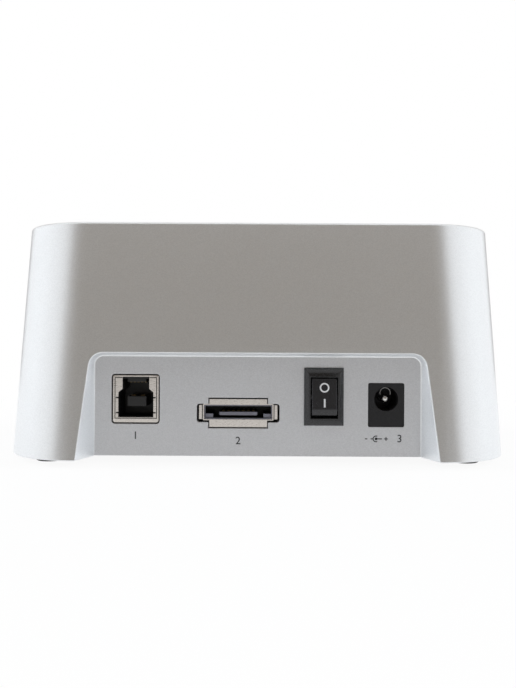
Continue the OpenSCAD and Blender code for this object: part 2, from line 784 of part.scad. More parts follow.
// Board with a notch for the lever's ear, and a shallower one for the lever
module main_board() color("#1f5a36") {
    difference() {
        translate([-board_w / 2, board_y0, board_z0]) cube([board_w, board_y1 - board_y0, board_t]);
        for (x = [-1, 1], y = standoff_ys) translate([x * standoff_x, y, board_z0 - over])
            cylinder(d = screw_d + 2 * hole_gap, h = board_t + 2 * over);
        translate([-board_w, lever_y - notch_half, board_z0 - over])
            cube([board_w + notch_x, 2 * notch_half, board_t + 2 * over]);
        translate([-board_w, lever_tip_y - lever_end - notch_gap, board_z0 - over])
            cube([board_w + lever_side_x, lever_l + 2 * notch_gap, board_t + 2 * over]);
    }
}

board_bite = 2.6;

// Tip-down screws, set over the board
module board_screws() color(steel) {
    for (x = [-1, 1], y = standoff_ys)
        translate([x * standoff_x, y, board_z1 + head_h]) mirror([0, 0, 1]) screw(board_t + board_bite);
}

sock_up = 4.9;
sock_top = floor_z1 + sock_up;
pin_pitch = 1.27;
signal_in = 14.4;
power_in = 5.6;
signal_x = sock_x + signal_in;
power_x = sock_x - power_in;
signal_pins = 7;
power_pins = 15;
tongue_slot = 1.6;

function row_x(middle, n, i) = middle + (i - (n - 1) / 2) * pin_pitch;

// L-shaped slot for one tongue of the drive's connector
module tongue_room(middle, n, key) {
    w = n * pin_pitch + 1.2;
    depth = 4.4;
    translate([middle - w / 2, sock_y - tongue_slot / 2, sock_top - depth])
        cube([w, tongue_slot, depth + over]);
    translate([key > 0 ? middle + w / 2 - 1 : middle - w / 2, sock_y - tongue_slot / 2, sock_top - depth])
        cube([1, tongue_slot + 0.9, depth + over]);
}

module drive_socket() color(black) {
    neck_in = 1.2;
    neck_w = sock_w - 2 * neck_in;
    neck_d = 4.8;
    shoulder = floor_z1 - 0.2;
    difference() {
        union() {
            translate([sock_x - sock_w / 2, sock_y - sock_d / 2, board_z1])
                cube([sock_w, sock_d, shoulder - board_z1]);
            translate([sock_x - neck_w / 2, sock_y - neck_d / 2, shoulder - 0.5])
                cube([neck_w, neck_d, sock_top - shoulder + 0.5]);
        }
        tongue_room(signal_x, signal_pins, 1);
        tongue_room(power_x, power_pins, -1);
    }
}

// Contact blades along the front wall of each slot
module contact_row(middle, n) {
    blade = [0.6, 0.35, 3.6];
    z0 = sock_top - 0.6 - blade.z;
    for (i = [0 : n - 1])
        translate([row_x(middle, n, i) - blade.x / 2, sock_y - tongue_slot / 2, z0]) cube(blade);
}

module drive_socket_contacts() color(gold) {
    contact_row(signal_x, signal_pins);
    contact_row(power_x, power_pins);
}

// Data socket: a folded steel shell, a moulded insert with two tongues, and contact strips

usb_skin = 0.4;
usb_low_w = 8.8;
usb_low_z0 = -4.65;
usb_low_z1 = 1.6;
usb_neck_w = 6.7;
usb_neck_z = 2.5;
tongue_w = 4.8;
tongue_z0 = -2;
tongue_z1 = 0.5;
shelf_z0 = 4.15;
shelf_z1 = 5.2;

// Outline of the plug's way in: a wide lower part and a narrower upper part
module usb_keyhole(top) {
    polygon([
        [-usb_low_w / 2, usb_low_z0], [usb_low_w / 2, usb_low_z0], [usb_low_w / 2, usb_low_z1],
        [usb_neck_w / 2, usb_neck_z], [usb_neck_w / 2, top], [-usb_neck_w / 2, top],
        [-usb_neck_w / 2, usb_neck_z], [-usb_low_w / 2, usb_low_z1]
    ]);
}

usb_front = panel_y - 0.3;

// Leg that stands a socket's shell on the board, from height z down
module leg(x, y, z, skin) {
    length = 2.4;
    translate([x - skin / 2, y - length / 2, board_z1]) cube([skin, length, z - board_z1 + 0.5]);
}

module usb_shell() color(steel) {
    y0 = panel_y - usb_l;
    top = usb_h / 2 - usb_skin;
    slit = [0.9, 0.35];
    slit_in = 0.3;
    slit_z = [usb_low_z1 - 1.3, usb_low_z0 + 1.15];
    translate([usb_x, 0, usb_z]) difference() {
        upright(y0, usb_front) square([usb_w, usb_h], center = true);
        upright(y0 - over, usb_front - usb_skin)
            square([usb_w - 2 * usb_skin, usb_h - 2 * usb_skin], center = true);
        upright(usb_front - usb_skin - over, usb_front + over) usb_keyhole(top);
        for (x = [-1, 1], z = slit_z)
            translate([x * (usb_low_w / 2 - slit_in + slit.x / 2), 0, z])
                upright(usb_front - usb_skin - over, usb_front + over) square(slit, center = true);
    }
    for (x = [-1, 1], y = [y0 + 2, behind_panel - 3])
        leg(usb_x + x * (usb_w - usb_skin) / 2, y, usb_z - usb_h / 2, usb_skin);
}

module usb_insert() color(black) {
    gap = 0.05;
    front = usb_front - usb_skin - gap;
    depth = 9.4;
    set_back = 1.2;
    w = usb_w - 2 * usb_skin - 2 * gap;
    h = usb_h - 2 * usb_skin - 2 * gap;
    top = h / 2 - 0.4;
    translate([usb_x, 0, usb_z]) {
        difference() {
            upright(panel_y - usb_l, front) square([w, h], center = true);
            upright(front - depth, front + over) usb_keyhole(top);
        }
        upright(front - depth - 0.5, front - set_back) {
            translate([-tongue_w / 2, tongue_z0]) square([tongue_w, tongue_z1 - tongue_z0]);
            translate([-tongue_w / 2, shelf_z0]) square([tongue_w, top - shelf_z0 + 0.2]);
        }
    }
}

// Strips on a tongue: n of them, on the face at height z, growing up or down from it
module strips(n, pitch, w, y0, y1, z, t) {
    for (i = [0 : n - 1]) translate([(i - (n - 1) / 2) * pitch - w / 2, y0, min(z, z + t)])
        cube([w, y1 - y0, abs(t)]);
}

module usb_contacts() color(gold) {
    t = 0.2;
    y0 = panel_y - 8.5;
    y1 = panel_y - 4;
    translate([usb_x, 0, usb_z]) {
        strips(2, 2.5, 1, y0, y1, tongue_z1, t);
        strips(2, 2, 1, y0, y1, tongue_z0, -t);
        strips(5, 0.95, 0.5, y0, y1, shelf_z0, -t);
    }
}

// Drive link socket: a shallow shell with flared lips and side tabs, an insert with one tongue

link_skin = 0.3;
link_front = panel_y - 0.5;
link_mid = 0.2;

module link_shell() color(steel) {
    w = link_w + 2 * link_skin;
    h = link_h + 2 * link_skin;
    lip = 0.4;
    translate([link_x, 0, link_z + link_mid]) {
        difference() {
            upright(panel_y - link_l, link_front) square([w, h], center = true);
            upright(panel_y - link_l - over, link_front + over) square([link_w, link_h], center = true);
        }
        for (s = [-1, 1]) {
            z = s > 0 ? link_flare_h / 2 - 0.35 - link_mid : -link_flare_h / 2 + 0.25 - link_mid;
            translate([-link_flare_w / 2 + 0.2, link_front - lip, min(z, s * h / 2)])
                cube([link_flare_w - 0.4, lip, abs(z - s * h / 2)]);
            translate([s > 0 ? w / 2 : -w / 2 - 1, link_front - lip, -link_h / 2]) cube([1, lip, link_h]);
        }
    }
    for (s = [-1, 1], y = [panel_y - link_l + 2, behind_panel - 3])
        leg(link_x + s * (w - link_skin) / 2, y, link_z + link_mid - h / 2, link_skin);
}

link_tongue_w = 9.6;
link_tongue_z0 = -0.9;
link_tongue_z1 = 0;

module link_insert() color(black) {
    gap = 0.05;
    front = link_front - 0.3;
    depth = 8;
    skin = 0.3;
    w = link_w - 2 * gap;
    h = link_h - 2 * gap;
    translate([link_x, 0, link_z + link_mid]) {
        difference() {
            upright(panel_y - link_l, front) square([w, h], center = true);
            upright(front - depth, front + over) square([w - 2 * skin, h - 2 * skin], center = true);
        }
        upright(front - depth - 0.5, front - 0.6)
            translate([-link_tongue_w / 2, link_tongue_z0])
                square([link_tongue_w, link_tongue_z1 - link_tongue_z0]);
        for (s = [-1, 1]) upright(front - depth - 0.5, front - 0.4)
            translate([s > 0 ? w / 2 - 2.2 : -w / 2 + 0.1, -h / 2 + 0.1]) square([2.1, 1.2]);
    }
}

module link_contacts() color(gold) {
    translate([link_x, 0, link_z + link_mid])
        strips(7, pin_pitch, 0.6, panel_y - 8, panel_y - 3.2, link_tongue_z1, 0.2);
}

// Power jack: a block with a blind bore, a centre pin and a sprung side contact

jack_bore_up = 1.5;
jack_bore_depth = 9.6;
jack_face = panel_y + 0.1;

module jack_housing() color(black) {
    step = 3.4;
    cheek = 0.4;
    translate([jack_x, 0, jack_z]) difference() {
        union() {
            upright(jack_face - step, jack_face) square([jack_w, jack_h], center = true);
            upright(jack_face - jack_l, jack_face - step + 0.5)
                translate([-jack_w / 2 + cheek, board_z1 - jack_z])
                    square([jack_w - 2 * cheek, jack_z - board_z1 + jack_h / 2 - cheek]);
        }
        translate([0, jack_face - jack_bore_depth, jack_bore_up]) rotate([-90, 0, 0])
            cylinder(d = jack_bore, h = jack_bore_depth + over);
        jack_spring_room();
    }
}

spring_strip_w = 2.4;
spring_strip_t = 0.3;

// Groove below the bore for the sprung contact
module jack_spring_room() {
    translate([-spring_strip_w / 2 - 0.1, jack_face - jack_bore_depth, jack_bore_up - jack_bore / 2 - 0.9])
        cube([spring_strip_w + 0.2, jack_bore_depth - 1.2, 2]);
}

module jack_pin() color(steel) {
    r = jack_pin_d / 2;
    length = 8.4;
    translate([jack_x, jack_face - jack_bore_depth, jack_z + jack_bore_up]) rotate([-90, 0, 0]) {
        cylinder(r = r, h = length - r);
        translate([0, 0, length - r]) sphere(r = r);
    }
}

module jack_spring() color(steel) {
    z = jack_bore_up - jack_bore / 2;
    y = jack_face - jack_bore_depth + 0.2;
    translate([jack_x + spring_strip_w / 2, 0, jack_z]) rotate([0, -90, 0]) linear_extrude(spring_strip_w)
        polygon([
            [z - 0.8, y], [z - 0.8 + spring_strip_t, y], [z + 0.35, y + 5.6], [z - 0.4, y + 7.8],
            [z - 0.4 - spring_strip_t, y + 7.8], [z + 0.35 - spring_strip_t, y + 5.6]
        ]);
}

// Rocker switch

bezel_in_w = rocker_w + 2 * run_gap;
sill_gap = 0.3;  // from the rocker's upper end to the bezel
foot_gap = 0.75; // from its lower end, which comes out further
bezel_in_h = rocker_h + sill_gap + foot_gap;
bezel_in_z = (sill_gap - foot_gap) / 2;
switch_depth = 11.5;
rocker_pin_r = 0.8;
rocker_y = panel_y + 0.1;
pivot_half = rocker_w / 2 + 0.6;

// Bezel with sloping faces, from its foot on the panel to its front edge
module bezel() {
    slope = [1.05, 1.3];
    edge_h = 0.5;
    upright(panel_y, panel_y + edge_h) square([bezel_w, bezel_h], center = true);
    hull() {
        upright(panel_y + edge_h - 0.01, panel_y + edge_h) square([bezel_w, bezel_h], center = true);
        upright(panel_y + bezel_t - 0.01, panel_y + bezel_t)
            square([bezel_w - 2 * slope.x, bezel_h - 2 * slope.y], center = true);
    }
}

module switch_frame() color(black) {
    back = panel_y - switch_depth;
    floor = 3;
    translate([switch_x, 0, switch_z]) difference() {
        union() {
            bezel();
            upright(back, panel_y + 0.1) square([switch_body_w, switch_body_h], center = true);
        }
        upright(back + floor, panel_y + bezel_t + over) translate([0, bezel_in_z])
            square([bezel_in_w, bezel_in_h], center = true);
        translate([-pivot_half - 0.1, rocker_y, 0]) rotate([0, 90, 0])
            cylinder(r = rocker_pin_r + run_r, h = 2 * pivot_half + 0.2);
    }
}

// Rocker at rest: its upper end pressed in, its lower end out
module switch_rocker() color("#242427") {
    half = rocker_h / 2;
    translate([switch_x, rocker_y, switch_z]) {
        translate([rocker_w / 2, 0, 0]) rotate([90, 0, -90]) linear_extrude(rocker_w) rocker_side(half);
        translate([-pivot_half, 0, 0]) rotate([0, 90, 0]) cylinder(r = rocker_pin_r, h = 2 * pivot_half);
    }
}

// Side of the rocker, outward to -X and up to +Y of this outline, with a nose at its lower end
module rocker_side(half) {
    nose = 1.5;
    rise = (2 * half - nose) * tan(rocker_tilt);
    front = bezel_t - 0.2;
    polygon([
        [-front, half], [-front - rise, -half + nose], [-front - rise + 0.6, -half + 0.1],
        [-1.2, -half], [1.6, -half + 0.7], [3, -0.9], [3, 0.9], [1.6, half - 0.6], [-0.4, half]
    ]);
}

terminal = [3.2, 5, 0.6];
terminal_z = 3.6;

module switch_terminals() color(gold) {
    back = panel_y - switch_depth - terminal.y;
    low = switch_z - terminal.z / 2;
    for (s = [-1, 1]) translate([switch_x - terminal.x / 2, back, low + s * terminal_z]) cube(terminal);
}

lead_d = 1.4;
header = [5.8, 4.6, 5.6];
header_x = (switch_x + switch_body_w / 2 + link_x - link_w / 2 - link_skin) / 2;
lead_y = panel_y - switch_depth - terminal.y + 1.5;
header_y = lead_y + 1.6;
header_top = board_z1 + header.z;
upper_z = switch_z + terminal_z;
lower_z = switch_z - terminal_z;
way_x = 1.2;

// Routes of the two leads, from a terminal over to the header
upper_lead = [
    [switch_x, lead_y, upper_z], [switch_x + 1.2, lead_y, upper_z],
    [header_x - 4.6, lead_y, upper_z + 0.5],
    [header_x - 2.6, lead_y + 0.6, upper_z + 0.5], [header_x - 1.5, lead_y + 1.4, upper_z - 0.7],
    [header_x - way_x, header_y, header_top + 3], [header_x - way_x, header_y, header_top + 1.6],
    [header_x - way_x, header_y, header_top]
];
lower_lead = [
    [switch_x, lead_y, lower_z], [switch_x + 1.2, lead_y, lower_z],
    [header_x - 4.6, lead_y - 0.6, lower_z + 0.8],
    [header_x - 2.4, lead_y - 0.9, header_top + 1.4], [header_x - 0.4, lead_y - 0.5, header_top + 3.2],
    [header_x + 0.9, lead_y + 0.8, header_top + 3.6], [header_x + way_x, header_y, header_top + 2.6],
    [header_x + way_x, header_y, header_top + 1.4], [header_x + way_x, header_y, header_top]
];

module switch_leads() {
    color("#a02020") wire(upper_lead, lead_d, 8, [0, 0, 1]);
    color(black) wire(lower_lead, lead_d, 8, [0, 0, 1]);
}

module lead_header() color("#e6e2d6") {
    translate([header_x - header.x / 2, header_y - header.y / 2, board_z1]) cube(header);
}

// Chips and other components

bridge_at = [18, -2];
bridge_size = [9, 9, 1];
supply_x = 26;
supply_at = 6;
regulator_size = [5, 6, 1.5];
inductor_at = 11;
inductor_size = [6.8, 6.8, 2.4];
can_d = 5;
can_h = 6;
can_base = 5.4;
can_base_h = 1;
can_step = 6.2;
can_y = board_y1 - can_base / 2 - 1;
can_x = (link_x + link_w / 2 + usb_x - usb_w / 2) / 2;
can_side_x = (jack_x + jack_w / 2 + switch_x - switch_body_w / 2) / 2;
can_places = [[can_x, can_y], [can_x, can_y - can_step], [can_side_x, can_y - can_step / 2]];
crystal_at = [26, 5];
crystal_l = 6;
crystal_w = 3.8;
crystal_h = 2.4;

// Chip on a raised foot
module chip(at, size) {
    legs = 0.15;
    inset = 0.6;
    translate([at.x - size.x / 2, at.y - size.y / 2, board_z1 + legs]) cube(size);
    translate([at.x - size.x / 2 + inset, at.y - size.y / 2 + inset, board_z1])
        cube([size.x - 2 * inset, size.y - 2 * inset, legs + 0.1]);
}

module bridge_chip() color(black) chip(bridge_at, bridge_size);

module regulators() color(black) {
    for (x = [-1, 1]) chip([x * supply_x, board_y0 + supply_at], regulator_size);
}

module capacitors() color("#8f9398") {
    for (at = can_places) translate([at.x, at.y, board_z1]) {
        translate([-can_base / 2, -can_base / 2, 0]) cube([can_base, can_base, can_base_h]);
        translate([0, 0, can_base_h / 2]) cylinder(d = can_d, h = can_h - can_base_h / 2);
    }
}

module inductors() color("#4a4a4c") {
    for (x = [-1, 1]) translate([x * supply_x - inductor_size.x / 2, board_y0 + inductor_at, board_z1])
        cube(inductor_size);
}

module crystal() color(steel) {
    translate([crystal_at.x, crystal_at.y, board_z1]) {
        for (x = [0, crystal_l]) translate([x, 0, 0]) cylinder(d = crystal_w, h = crystal_h);
        translate([0, -crystal_w / 2, 0]) cube([crystal_l, crystal_w, crystal_h]);
    }
}

led_w = 3.8;
led_back = 0.5;
led_over = 1.8;
led_lens = 1.6;

module status_leds() color("#dfe6e8") {
    for (x = [-1, 1]) translate([x * pipe_x, board_y0, board_z1]) {
        translate([-led_w / 2, led_back, 0]) cube([led_w, led_w, pipe_up + led_over]);
        translate([0, led_back + 0.1, pipe_up]) rotate([90, 0, 0]) {
            cylinder(d = pipe_d, h = led_lens);
            translate([0, 0, led_lens]) sphere(d = pipe_d);
        }
    }
}

module light_pipes() color("#e9f2f4") {
    front = -body_d / 2 + (pipe_z - body_z0) * lean_run - 0.3;
    inner = board_y0 - led_lens - pipe_d / 2;
    for (x = [-1, 1]) translate([x * pipe_x, front, pipe_z]) rotate([-90, 0, 0])
        cylinder(d = pipe_d, h = inner - front);
}

outer_shell();
rear_panel();
base_plate();
rubber_feet();
base_screws();
top_deck();
deck_screws();
drive_well();
flap_door();
flap_pin();
flap_springs();
eject_button();
button_spring();
eject_lever();
lever_pin();
main_board();
board_screws();
drive_socket();
drive_socket_contacts();
usb_shell();
usb_insert();
usb_contacts();
link_shell();
link_insert();
link_contacts();
jack_housing();
jack_pin();
jack_spring();
switch_frame();
switch_rocker();
switch_terminals();
switch_leads();
lead_header();
bridge_chip();
regulators();
capacitors();
inductors();
crystal();
status_leds();
light_pipes();
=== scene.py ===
import json
import math

import bmesh
import bpy
from mathutils import Matrix, Vector

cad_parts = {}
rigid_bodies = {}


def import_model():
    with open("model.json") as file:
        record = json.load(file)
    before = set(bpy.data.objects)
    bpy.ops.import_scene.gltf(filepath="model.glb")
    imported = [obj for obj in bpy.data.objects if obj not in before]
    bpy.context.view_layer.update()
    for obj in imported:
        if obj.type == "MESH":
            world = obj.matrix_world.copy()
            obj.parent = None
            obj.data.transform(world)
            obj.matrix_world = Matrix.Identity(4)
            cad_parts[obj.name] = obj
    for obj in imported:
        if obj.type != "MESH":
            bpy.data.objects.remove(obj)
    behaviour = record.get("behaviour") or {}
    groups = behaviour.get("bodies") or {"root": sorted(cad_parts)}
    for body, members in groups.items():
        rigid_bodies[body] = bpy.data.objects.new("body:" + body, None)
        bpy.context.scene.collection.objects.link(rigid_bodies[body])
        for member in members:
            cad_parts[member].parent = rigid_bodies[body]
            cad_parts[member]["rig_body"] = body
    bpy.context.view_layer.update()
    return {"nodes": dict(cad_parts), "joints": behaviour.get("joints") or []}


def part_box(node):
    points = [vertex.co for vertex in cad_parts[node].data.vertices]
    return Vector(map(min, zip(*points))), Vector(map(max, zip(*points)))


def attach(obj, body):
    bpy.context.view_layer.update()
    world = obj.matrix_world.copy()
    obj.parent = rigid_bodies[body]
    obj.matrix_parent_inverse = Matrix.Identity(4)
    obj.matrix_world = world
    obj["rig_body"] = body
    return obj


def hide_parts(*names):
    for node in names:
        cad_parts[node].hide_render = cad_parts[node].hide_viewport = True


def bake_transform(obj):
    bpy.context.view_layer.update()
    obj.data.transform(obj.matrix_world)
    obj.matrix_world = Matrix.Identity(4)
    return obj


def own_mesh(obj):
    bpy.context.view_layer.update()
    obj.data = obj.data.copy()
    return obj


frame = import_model()
scene = bpy.context.scene
scene.view_settings.view_transform = "Standard"
mm = 0.001
hair = 0.05 * mm    # a point this near a face is taken to lie on it
weld = 0.0004 * mm  # points closer than this are one point
joints = {joint["name"]: joint for joint in frame["joints"]}
print("frame loaded with", len(frame["nodes"]), "nodes")

# Camera behind the dock, level with its middle

cameraLook = {"place": (0.0, 0.210, 0.0302), "roll": -0.3, "lens": 36.63, "sensor": 36, "nearest": 0.005}


def addCamera(look):
    data = bpy.data.cameras.new("camera")
    data.lens = look["lens"]
    data.sensor_width = look["sensor"]
    data.clip_start = look["nearest"]
    camera = bpy.data.objects.new("camera", data)
    camera.location = look["place"]
    camera.rotation_euler = [math.radians(a) for a in (90, look["roll"], 180)]
    scene.collection.objects.link(camera)
    scene.camera = camera


addCamera(cameraLook)
print("camera set")

# Shader helpers: most of a noise lies between these two values

noiseLow = 0.3
noiseHigh = 0.7


def addNode(tree, kind, inputs=None, **settings):
    node = tree.nodes.new("ShaderNode" + kind)
    for key, value in settings.items():
        setattr(node, key, value)
    for key, value in (inputs or {}).items():
        node.inputs[key].default_value = value
    return node


def newFinish(look, **sockets):
    material = bpy.data.materials.new(look["name"])
    material.use_nodes = True
    tree = material.node_tree
    shader = tree.nodes["Principled BSDF"]
    for key, value in sockets.items():
        shader.inputs[key].default_value = value
    for key, value in look.get("sockets", {}).items():
        shader.inputs[key].default_value = value
    return material, tree, shader


def objectPlace(tree, stretch=(1, 1, 1)):
    place = addNode(tree, "TexCoord")
    turn = addNode(tree, "Mapping", {"Scale": stretch})
    tree.links.new(place.outputs["Object"], turn.inputs["Vector"])
    return turn.outputs["Vector"]


def noise(tree, scale, detail=3, stretch=(1, 1, 1)):
    node = addNode(tree, "TexNoise", {"Scale": scale, "Detail": detail, "Roughness": 0.6})
    tree.links.new(objectPlace(tree, stretch), node.inputs["Vector"])
    return node.outputs["Fac"]


def tones(tree, source, dark, light, low=noiseLow, high=noiseHigh):
    node = addNode(tree, "ValToRGB")
    for element, colour, place in zip(node.color_ramp.elements, (dark, light), (low, high)):
        element.color = (*colour, 1)
        element.position = place
    tree.links.new(source, node.inputs["Fac"])
    return node.outputs["Color"]


def spread(tree, source, low, high):
    node = addNode(tree, "MapRange", {"From Min": noiseLow, "From Max": noiseHigh,
                                      "To Min": low, "To Max": high})
    tree.links.new(source, node.inputs["Value"])
    return node.outputs["Result"]


# Paints light and shade into a colour where a face attribute marks it
def paintLightAndShade(tree, colour, attribute, tint, blend):
    marked = addNode(tree, "Attribute", attribute_name=attribute)
    node = addNode(tree, "MixRGB", {"Color2": (*tint, 1)}, blend_type=blend)
    tree.links.new(marked.outputs["Fac"], node.inputs["Fac"])
    tree.links.new(colour, node.inputs["Color1"])
    return node.outputs["Color"]


def relief(tree, source, shader, strength, depth):
    node = addNode(tree, "Bump", {"Strength": strength, "Distance": depth})
    tree.links.new(source, node.inputs["Height"])
    tree.links.new(node.outputs["Normal"], shader.inputs["Normal"])


# Depth of the flakes in the paint, and of the grain and the tracks of the other finishes

flakeDepth = 0.02 * mm
grainDepth = 0.03 * mm

# Silver paint: small flakes that differ in tone, tilt and gloss, with painted shade in the recess, where the
# tone is darker and the paint less metallic

shellPaintLook = {"name": "shellPaint", "dark": (0.775, 0.790, 0.805), "light": (0.845, 0.860, 0.875),
                  "flake": 5200, "rough": (0.28, 0.33), "metal": 0.78, "tilt": 0.24,
                  "recessShadeMetal": 0.45, "recessShadeTone": 0.97}
# Panel paint: the same silver, rougher and less metallic, painted darker as painted shade for the panel at
# the back of the recess
shadedPanelPaintLook = {"name": "shadedPanelPaint", "dark": (0.565, 0.572, 0.590), "light": (0.630, 0.637, 0.655),
                  "flake": 4600, "rough": (0.36, 0.42), "metal": 0.70, "tilt": 0.30}


def silverPaint(look):
    material, tree, shader = newFinish(look, Metallic=look["metal"])
    flake = addNode(tree, "TexVoronoi", {"Scale": look["flake"]})
    tree.links.new(objectPlace(tree), flake.inputs["Vector"])
    parts = addNode(tree, "SeparateColor")
    tree.links.new(flake.outputs["Color"], parts.inputs["Color"])
    tone = tones(tree, parts.outputs["Red"], look["dark"], look["light"], 0.0, 1.0)
    tree.links.new(spread(tree, parts.outputs["Blue"], *look["rough"]), shader.inputs["Roughness"])
    relief(tree, parts.outputs["Green"], shader, look["tilt"], flakeDepth)
    # Painted shade: faces marked as in the recess get a darker tone and less metal
    if "recessShadeMetal" in look:
        tone = paintLightAndShade(tree, tone, "recess", [look["recessShadeTone"]] * 3, "MULTIPLY")
        inside = addNode(tree, "Attribute", attribute_name="recess")
        share = addNode(tree, "MapRange", {"To Min": look["metal"], "To Max": look["recessShadeMetal"]})
        tree.links.new(inside.outputs["Fac"], share.inputs["Value"])
        tree.links.new(share.outputs["Result"], shader.inputs["Metallic"])
    tree.links.new(tone, shader.inputs["Base Color"])
    return material


# Moulded, rubber and metal finishes: one fine grain sets tone, roughness and relief


def grained(look):
    material, tree, shader = newFinish(look, Metallic=look.get("metal", 0.0))
    grain = noise(tree, look["grain"], 3, look.get("stretch", (1, 1, 1)))
    tone = tones(tree, grain, look["dark"], look["light"])
    # Painted light and shade: a lighter grey on the lit faces of the link tongue, near black in the shaded
    # seams of the socket shells
    if "tint" in look:
        tone = paintLightAndShade(tree, tone, *look["tint"], "MIX")
    tree.links.new(tone, shader.inputs["Base Color"])
    tree.links.new(spread(tree, grain, *look["rough"]), shader.inputs["Roughness"])
    relief(tree, grain, shader, look["relief"], grainDepth)
    return material


blackPlasticLook = {"name": "blackPlastic", "dark": (0.010, 0.010, 0.011), "light": (0.020, 0.020, 0.022),
                    "grain": 2600, "rough": (0.40, 0.52), "relief": 0.16}
framePlasticLook = {"name": "framePlastic", "dark": (0.010, 0.010, 0.011), "light": (0.018, 0.018, 0.020),
                    "grain": 3400, "rough": (0.20, 0.28), "relief": 0.08}
jackPlasticLook = {"name": "jackPlastic", "dark": (0.010, 0.010, 0.011), "light": (0.018, 0.018, 0.020),
                   "grain": 2600, "rough": (0.40, 0.52), "relief": 0.16,
                   "sockets": {"Specular IOR Level": 0.3}}
# Link socket plastic: black, with painted light on the lit faces of the tongue, a light bluish grey
linkPlasticLook = {"name": "linkPlastic", "dark": (0.004, 0.004, 0.004), "light": (0.010, 0.010, 0.011),
                   "tint": ("nose", (0.24, 0.24, 0.29)), "grain": 3000, "rough": (0.42, 0.55),
                   "relief": 0.10}
socketPlasticLook = {"name": "socketPlastic", "dark": (0.004, 0.004, 0.004), "light": (0.010, 0.010, 0.011),
                     "grain": 3000, "rough": (0.42, 0.55), "relief": 0.10}
deckPlasticLook = {"name": "deckPlastic", "dark": (0.014, 0.014, 0.016), "light": (0.026, 0.026, 0.029),
                   "grain": 1900, "rough": (0.46, 0.60), "relief": 0.35}
flapPlasticLook = {"name": "flapPlastic", "dark": (0.018, 0.018, 0.020), "light": (0.030, 0.030, 0.033),
                   "grain": 2400, "rough": (0.40, 0.54), "relief": 0.25}
buttonPlasticLook = {"name": "buttonPlastic", "dark": (0.030, 0.030, 0.033), "light": (0.045, 0.045, 0.049),
                     "grain": 2600, "rough": (0.34, 0.46), "relief": 0.15}
leverPlasticLook = {"name": "leverPlastic", "dark": (0.050, 0.050, 0.056), "light": (0.075, 0.075, 0.082),
                    "grain": 2200, "rough": (0.40, 0.55), "relief": 0.2}
rockerPlasticLook = {"name": "rockerPlastic", "dark": (0.015, 0.015, 0.017), "light": (0.024, 0.024, 0.027),
                     "grain": 3200, "rough": (0.20, 0.28), "relief": 0.06}
footRubberLook = {"name": "footRubber", "dark": (0.020, 0.020, 0.020), "light": (0.038, 0.038, 0.038),
                  "grain": 1500, "rough": (0.72, 0.88), "relief": 0.5}
chipResinLook = {"name": "chipResin", "dark": (0.012, 0.012, 0.013), "light": (0.024, 0.024, 0.025),
                 "grain": 4200, "rough": (0.55, 0.70), "relief": 0.3}
ferriteLook = {"name": "ferrite", "dark": (0.055, 0.054, 0.052), "light": (0.090, 0.088, 0.085),
               "grain": 2600, "rough": (0.55, 0.72), "relief": 0.5}
headerPlasticLook = {"name": "headerPlastic", "dark": (0.70, 0.67, 0.58), "light": (0.78, 0.75, 0.66),
                     "grain": 900, "rough": (0.45, 0.58), "relief": 0.15}
redInsulationLook = {"name": "redInsulation", "dark": (0.30, 0.020, 0.018), "light": (0.38, 0.030, 0.026),
                     "grain": 1400, "rough": (0.42, 0.55), "relief": 0.12}
blackInsulationLook = {"name": "blackInsulation", "dark": (0.012, 0.012, 0.012),
                       "light": (0.022, 0.022, 0.022), "grain": 1400, "rough": (0.42, 0.55), "relief": 0.12}
ledResinLook = {"name": "ledResin", "dark": (0.66, 0.70, 0.72), "light": (0.76, 0.80, 0.82), "grain": 700,
                "rough": (0.10, 0.20), "relief": 0.05, "sockets": {"Transmission Weight": 0.5}}
pipeClearLook = {"name": "pipeClear", "dark": (0.80, 0.86, 0.88), "light": (0.88, 0.93, 0.95), "grain": 500,
                 "rough": (0.14, 0.26), "relief": 0.05, "sockets": {"Transmission Weight": 0.6, "IOR": 1.49}}
# Socket steel: warm steel, with painted shade near black in the sunk seams and gaps
socketSteelLook = {"name": "socketSteel", "dark": (0.56, 0.525, 0.49), "light": (0.72, 0.685, 0.65),
                   "tint": ("seam", (0.035, 0.032, 0.030)), "grain": 900, "stretch": (1, 1, 9),
                   "rough": (0.24, 0.38), "relief": 0.12, "metal": 1.0}
pinSteelLook = {"name": "pinSteel", "dark": (0.58, 0.57, 0.55), "light": (0.72, 0.71, 0.69),
                "grain": 1200, "stretch": (1, 8, 8), "rough": (0.22, 0.34), "relief": 0.1, "metal": 1.0}
springSteelLook = {"name": "springSteel", "dark": (0.44, 0.43, 0.42), "light": (0.60, 0.59, 0.57),
                   "grain": 1600, "rough": (0.26, 0.40), "relief": 0.1, "metal": 1.0}
canAluminiumLook = {"name": "canAluminium", "dark": (0.62, 0.63, 0.65), "light": (0.76, 0.77, 0.79),
                    "grain": 1500, "stretch": (6, 6, 1), "rough": (0.26, 0.40), "relief": 0.12, "metal": 1.0}
# Contacts deep in the data and link sockets: gold, painted dark brown as painted shade
shadedGoldContactLook = {"name": "shadedGoldContact", "dark": (0.20, 0.15, 0.075), "light": (0.30, 0.225, 0.11),
                     "grain": 2000, "rough": (0.30, 0.44), "relief": 0.08, "metal": 1.0}
contactGoldLook = {"name": "contactGold", "dark": (0.72, 0.50, 0.20), "light": (0.86, 0.63, 0.28),
                   "grain": 2000, "rough": (0.22, 0.36), "relief": 0.08, "metal": 1.0}
markInkLook = {"name": "markInk", "dark": (0.020, 0.020, 0.022), "light": (0.040, 0.040, 0.044),
               "grain": 4000, "rough": (0.55, 0.70), "relief": 0.1}
whiteInkLook = {"name": "whiteInk", "dark": (0.74, 0.74, 0.75), "light": (0.84, 0.84, 0.85),
                "grain": 4000, "rough": (0.45, 0.60), "relief": 0.1}
boardLook = {"name": "boardLaminate", "mask": (0.010, 0.085, 0.036), "track": (0.022, 0.150, 0.066),
             "rough": (0.26, 0.38), "tracks": 260, "trackWidth": 0.05, "trackSoft": 0.3, "grain": 700,
             "relief": 0.3}


# Board: solder mask with raised tracks under it


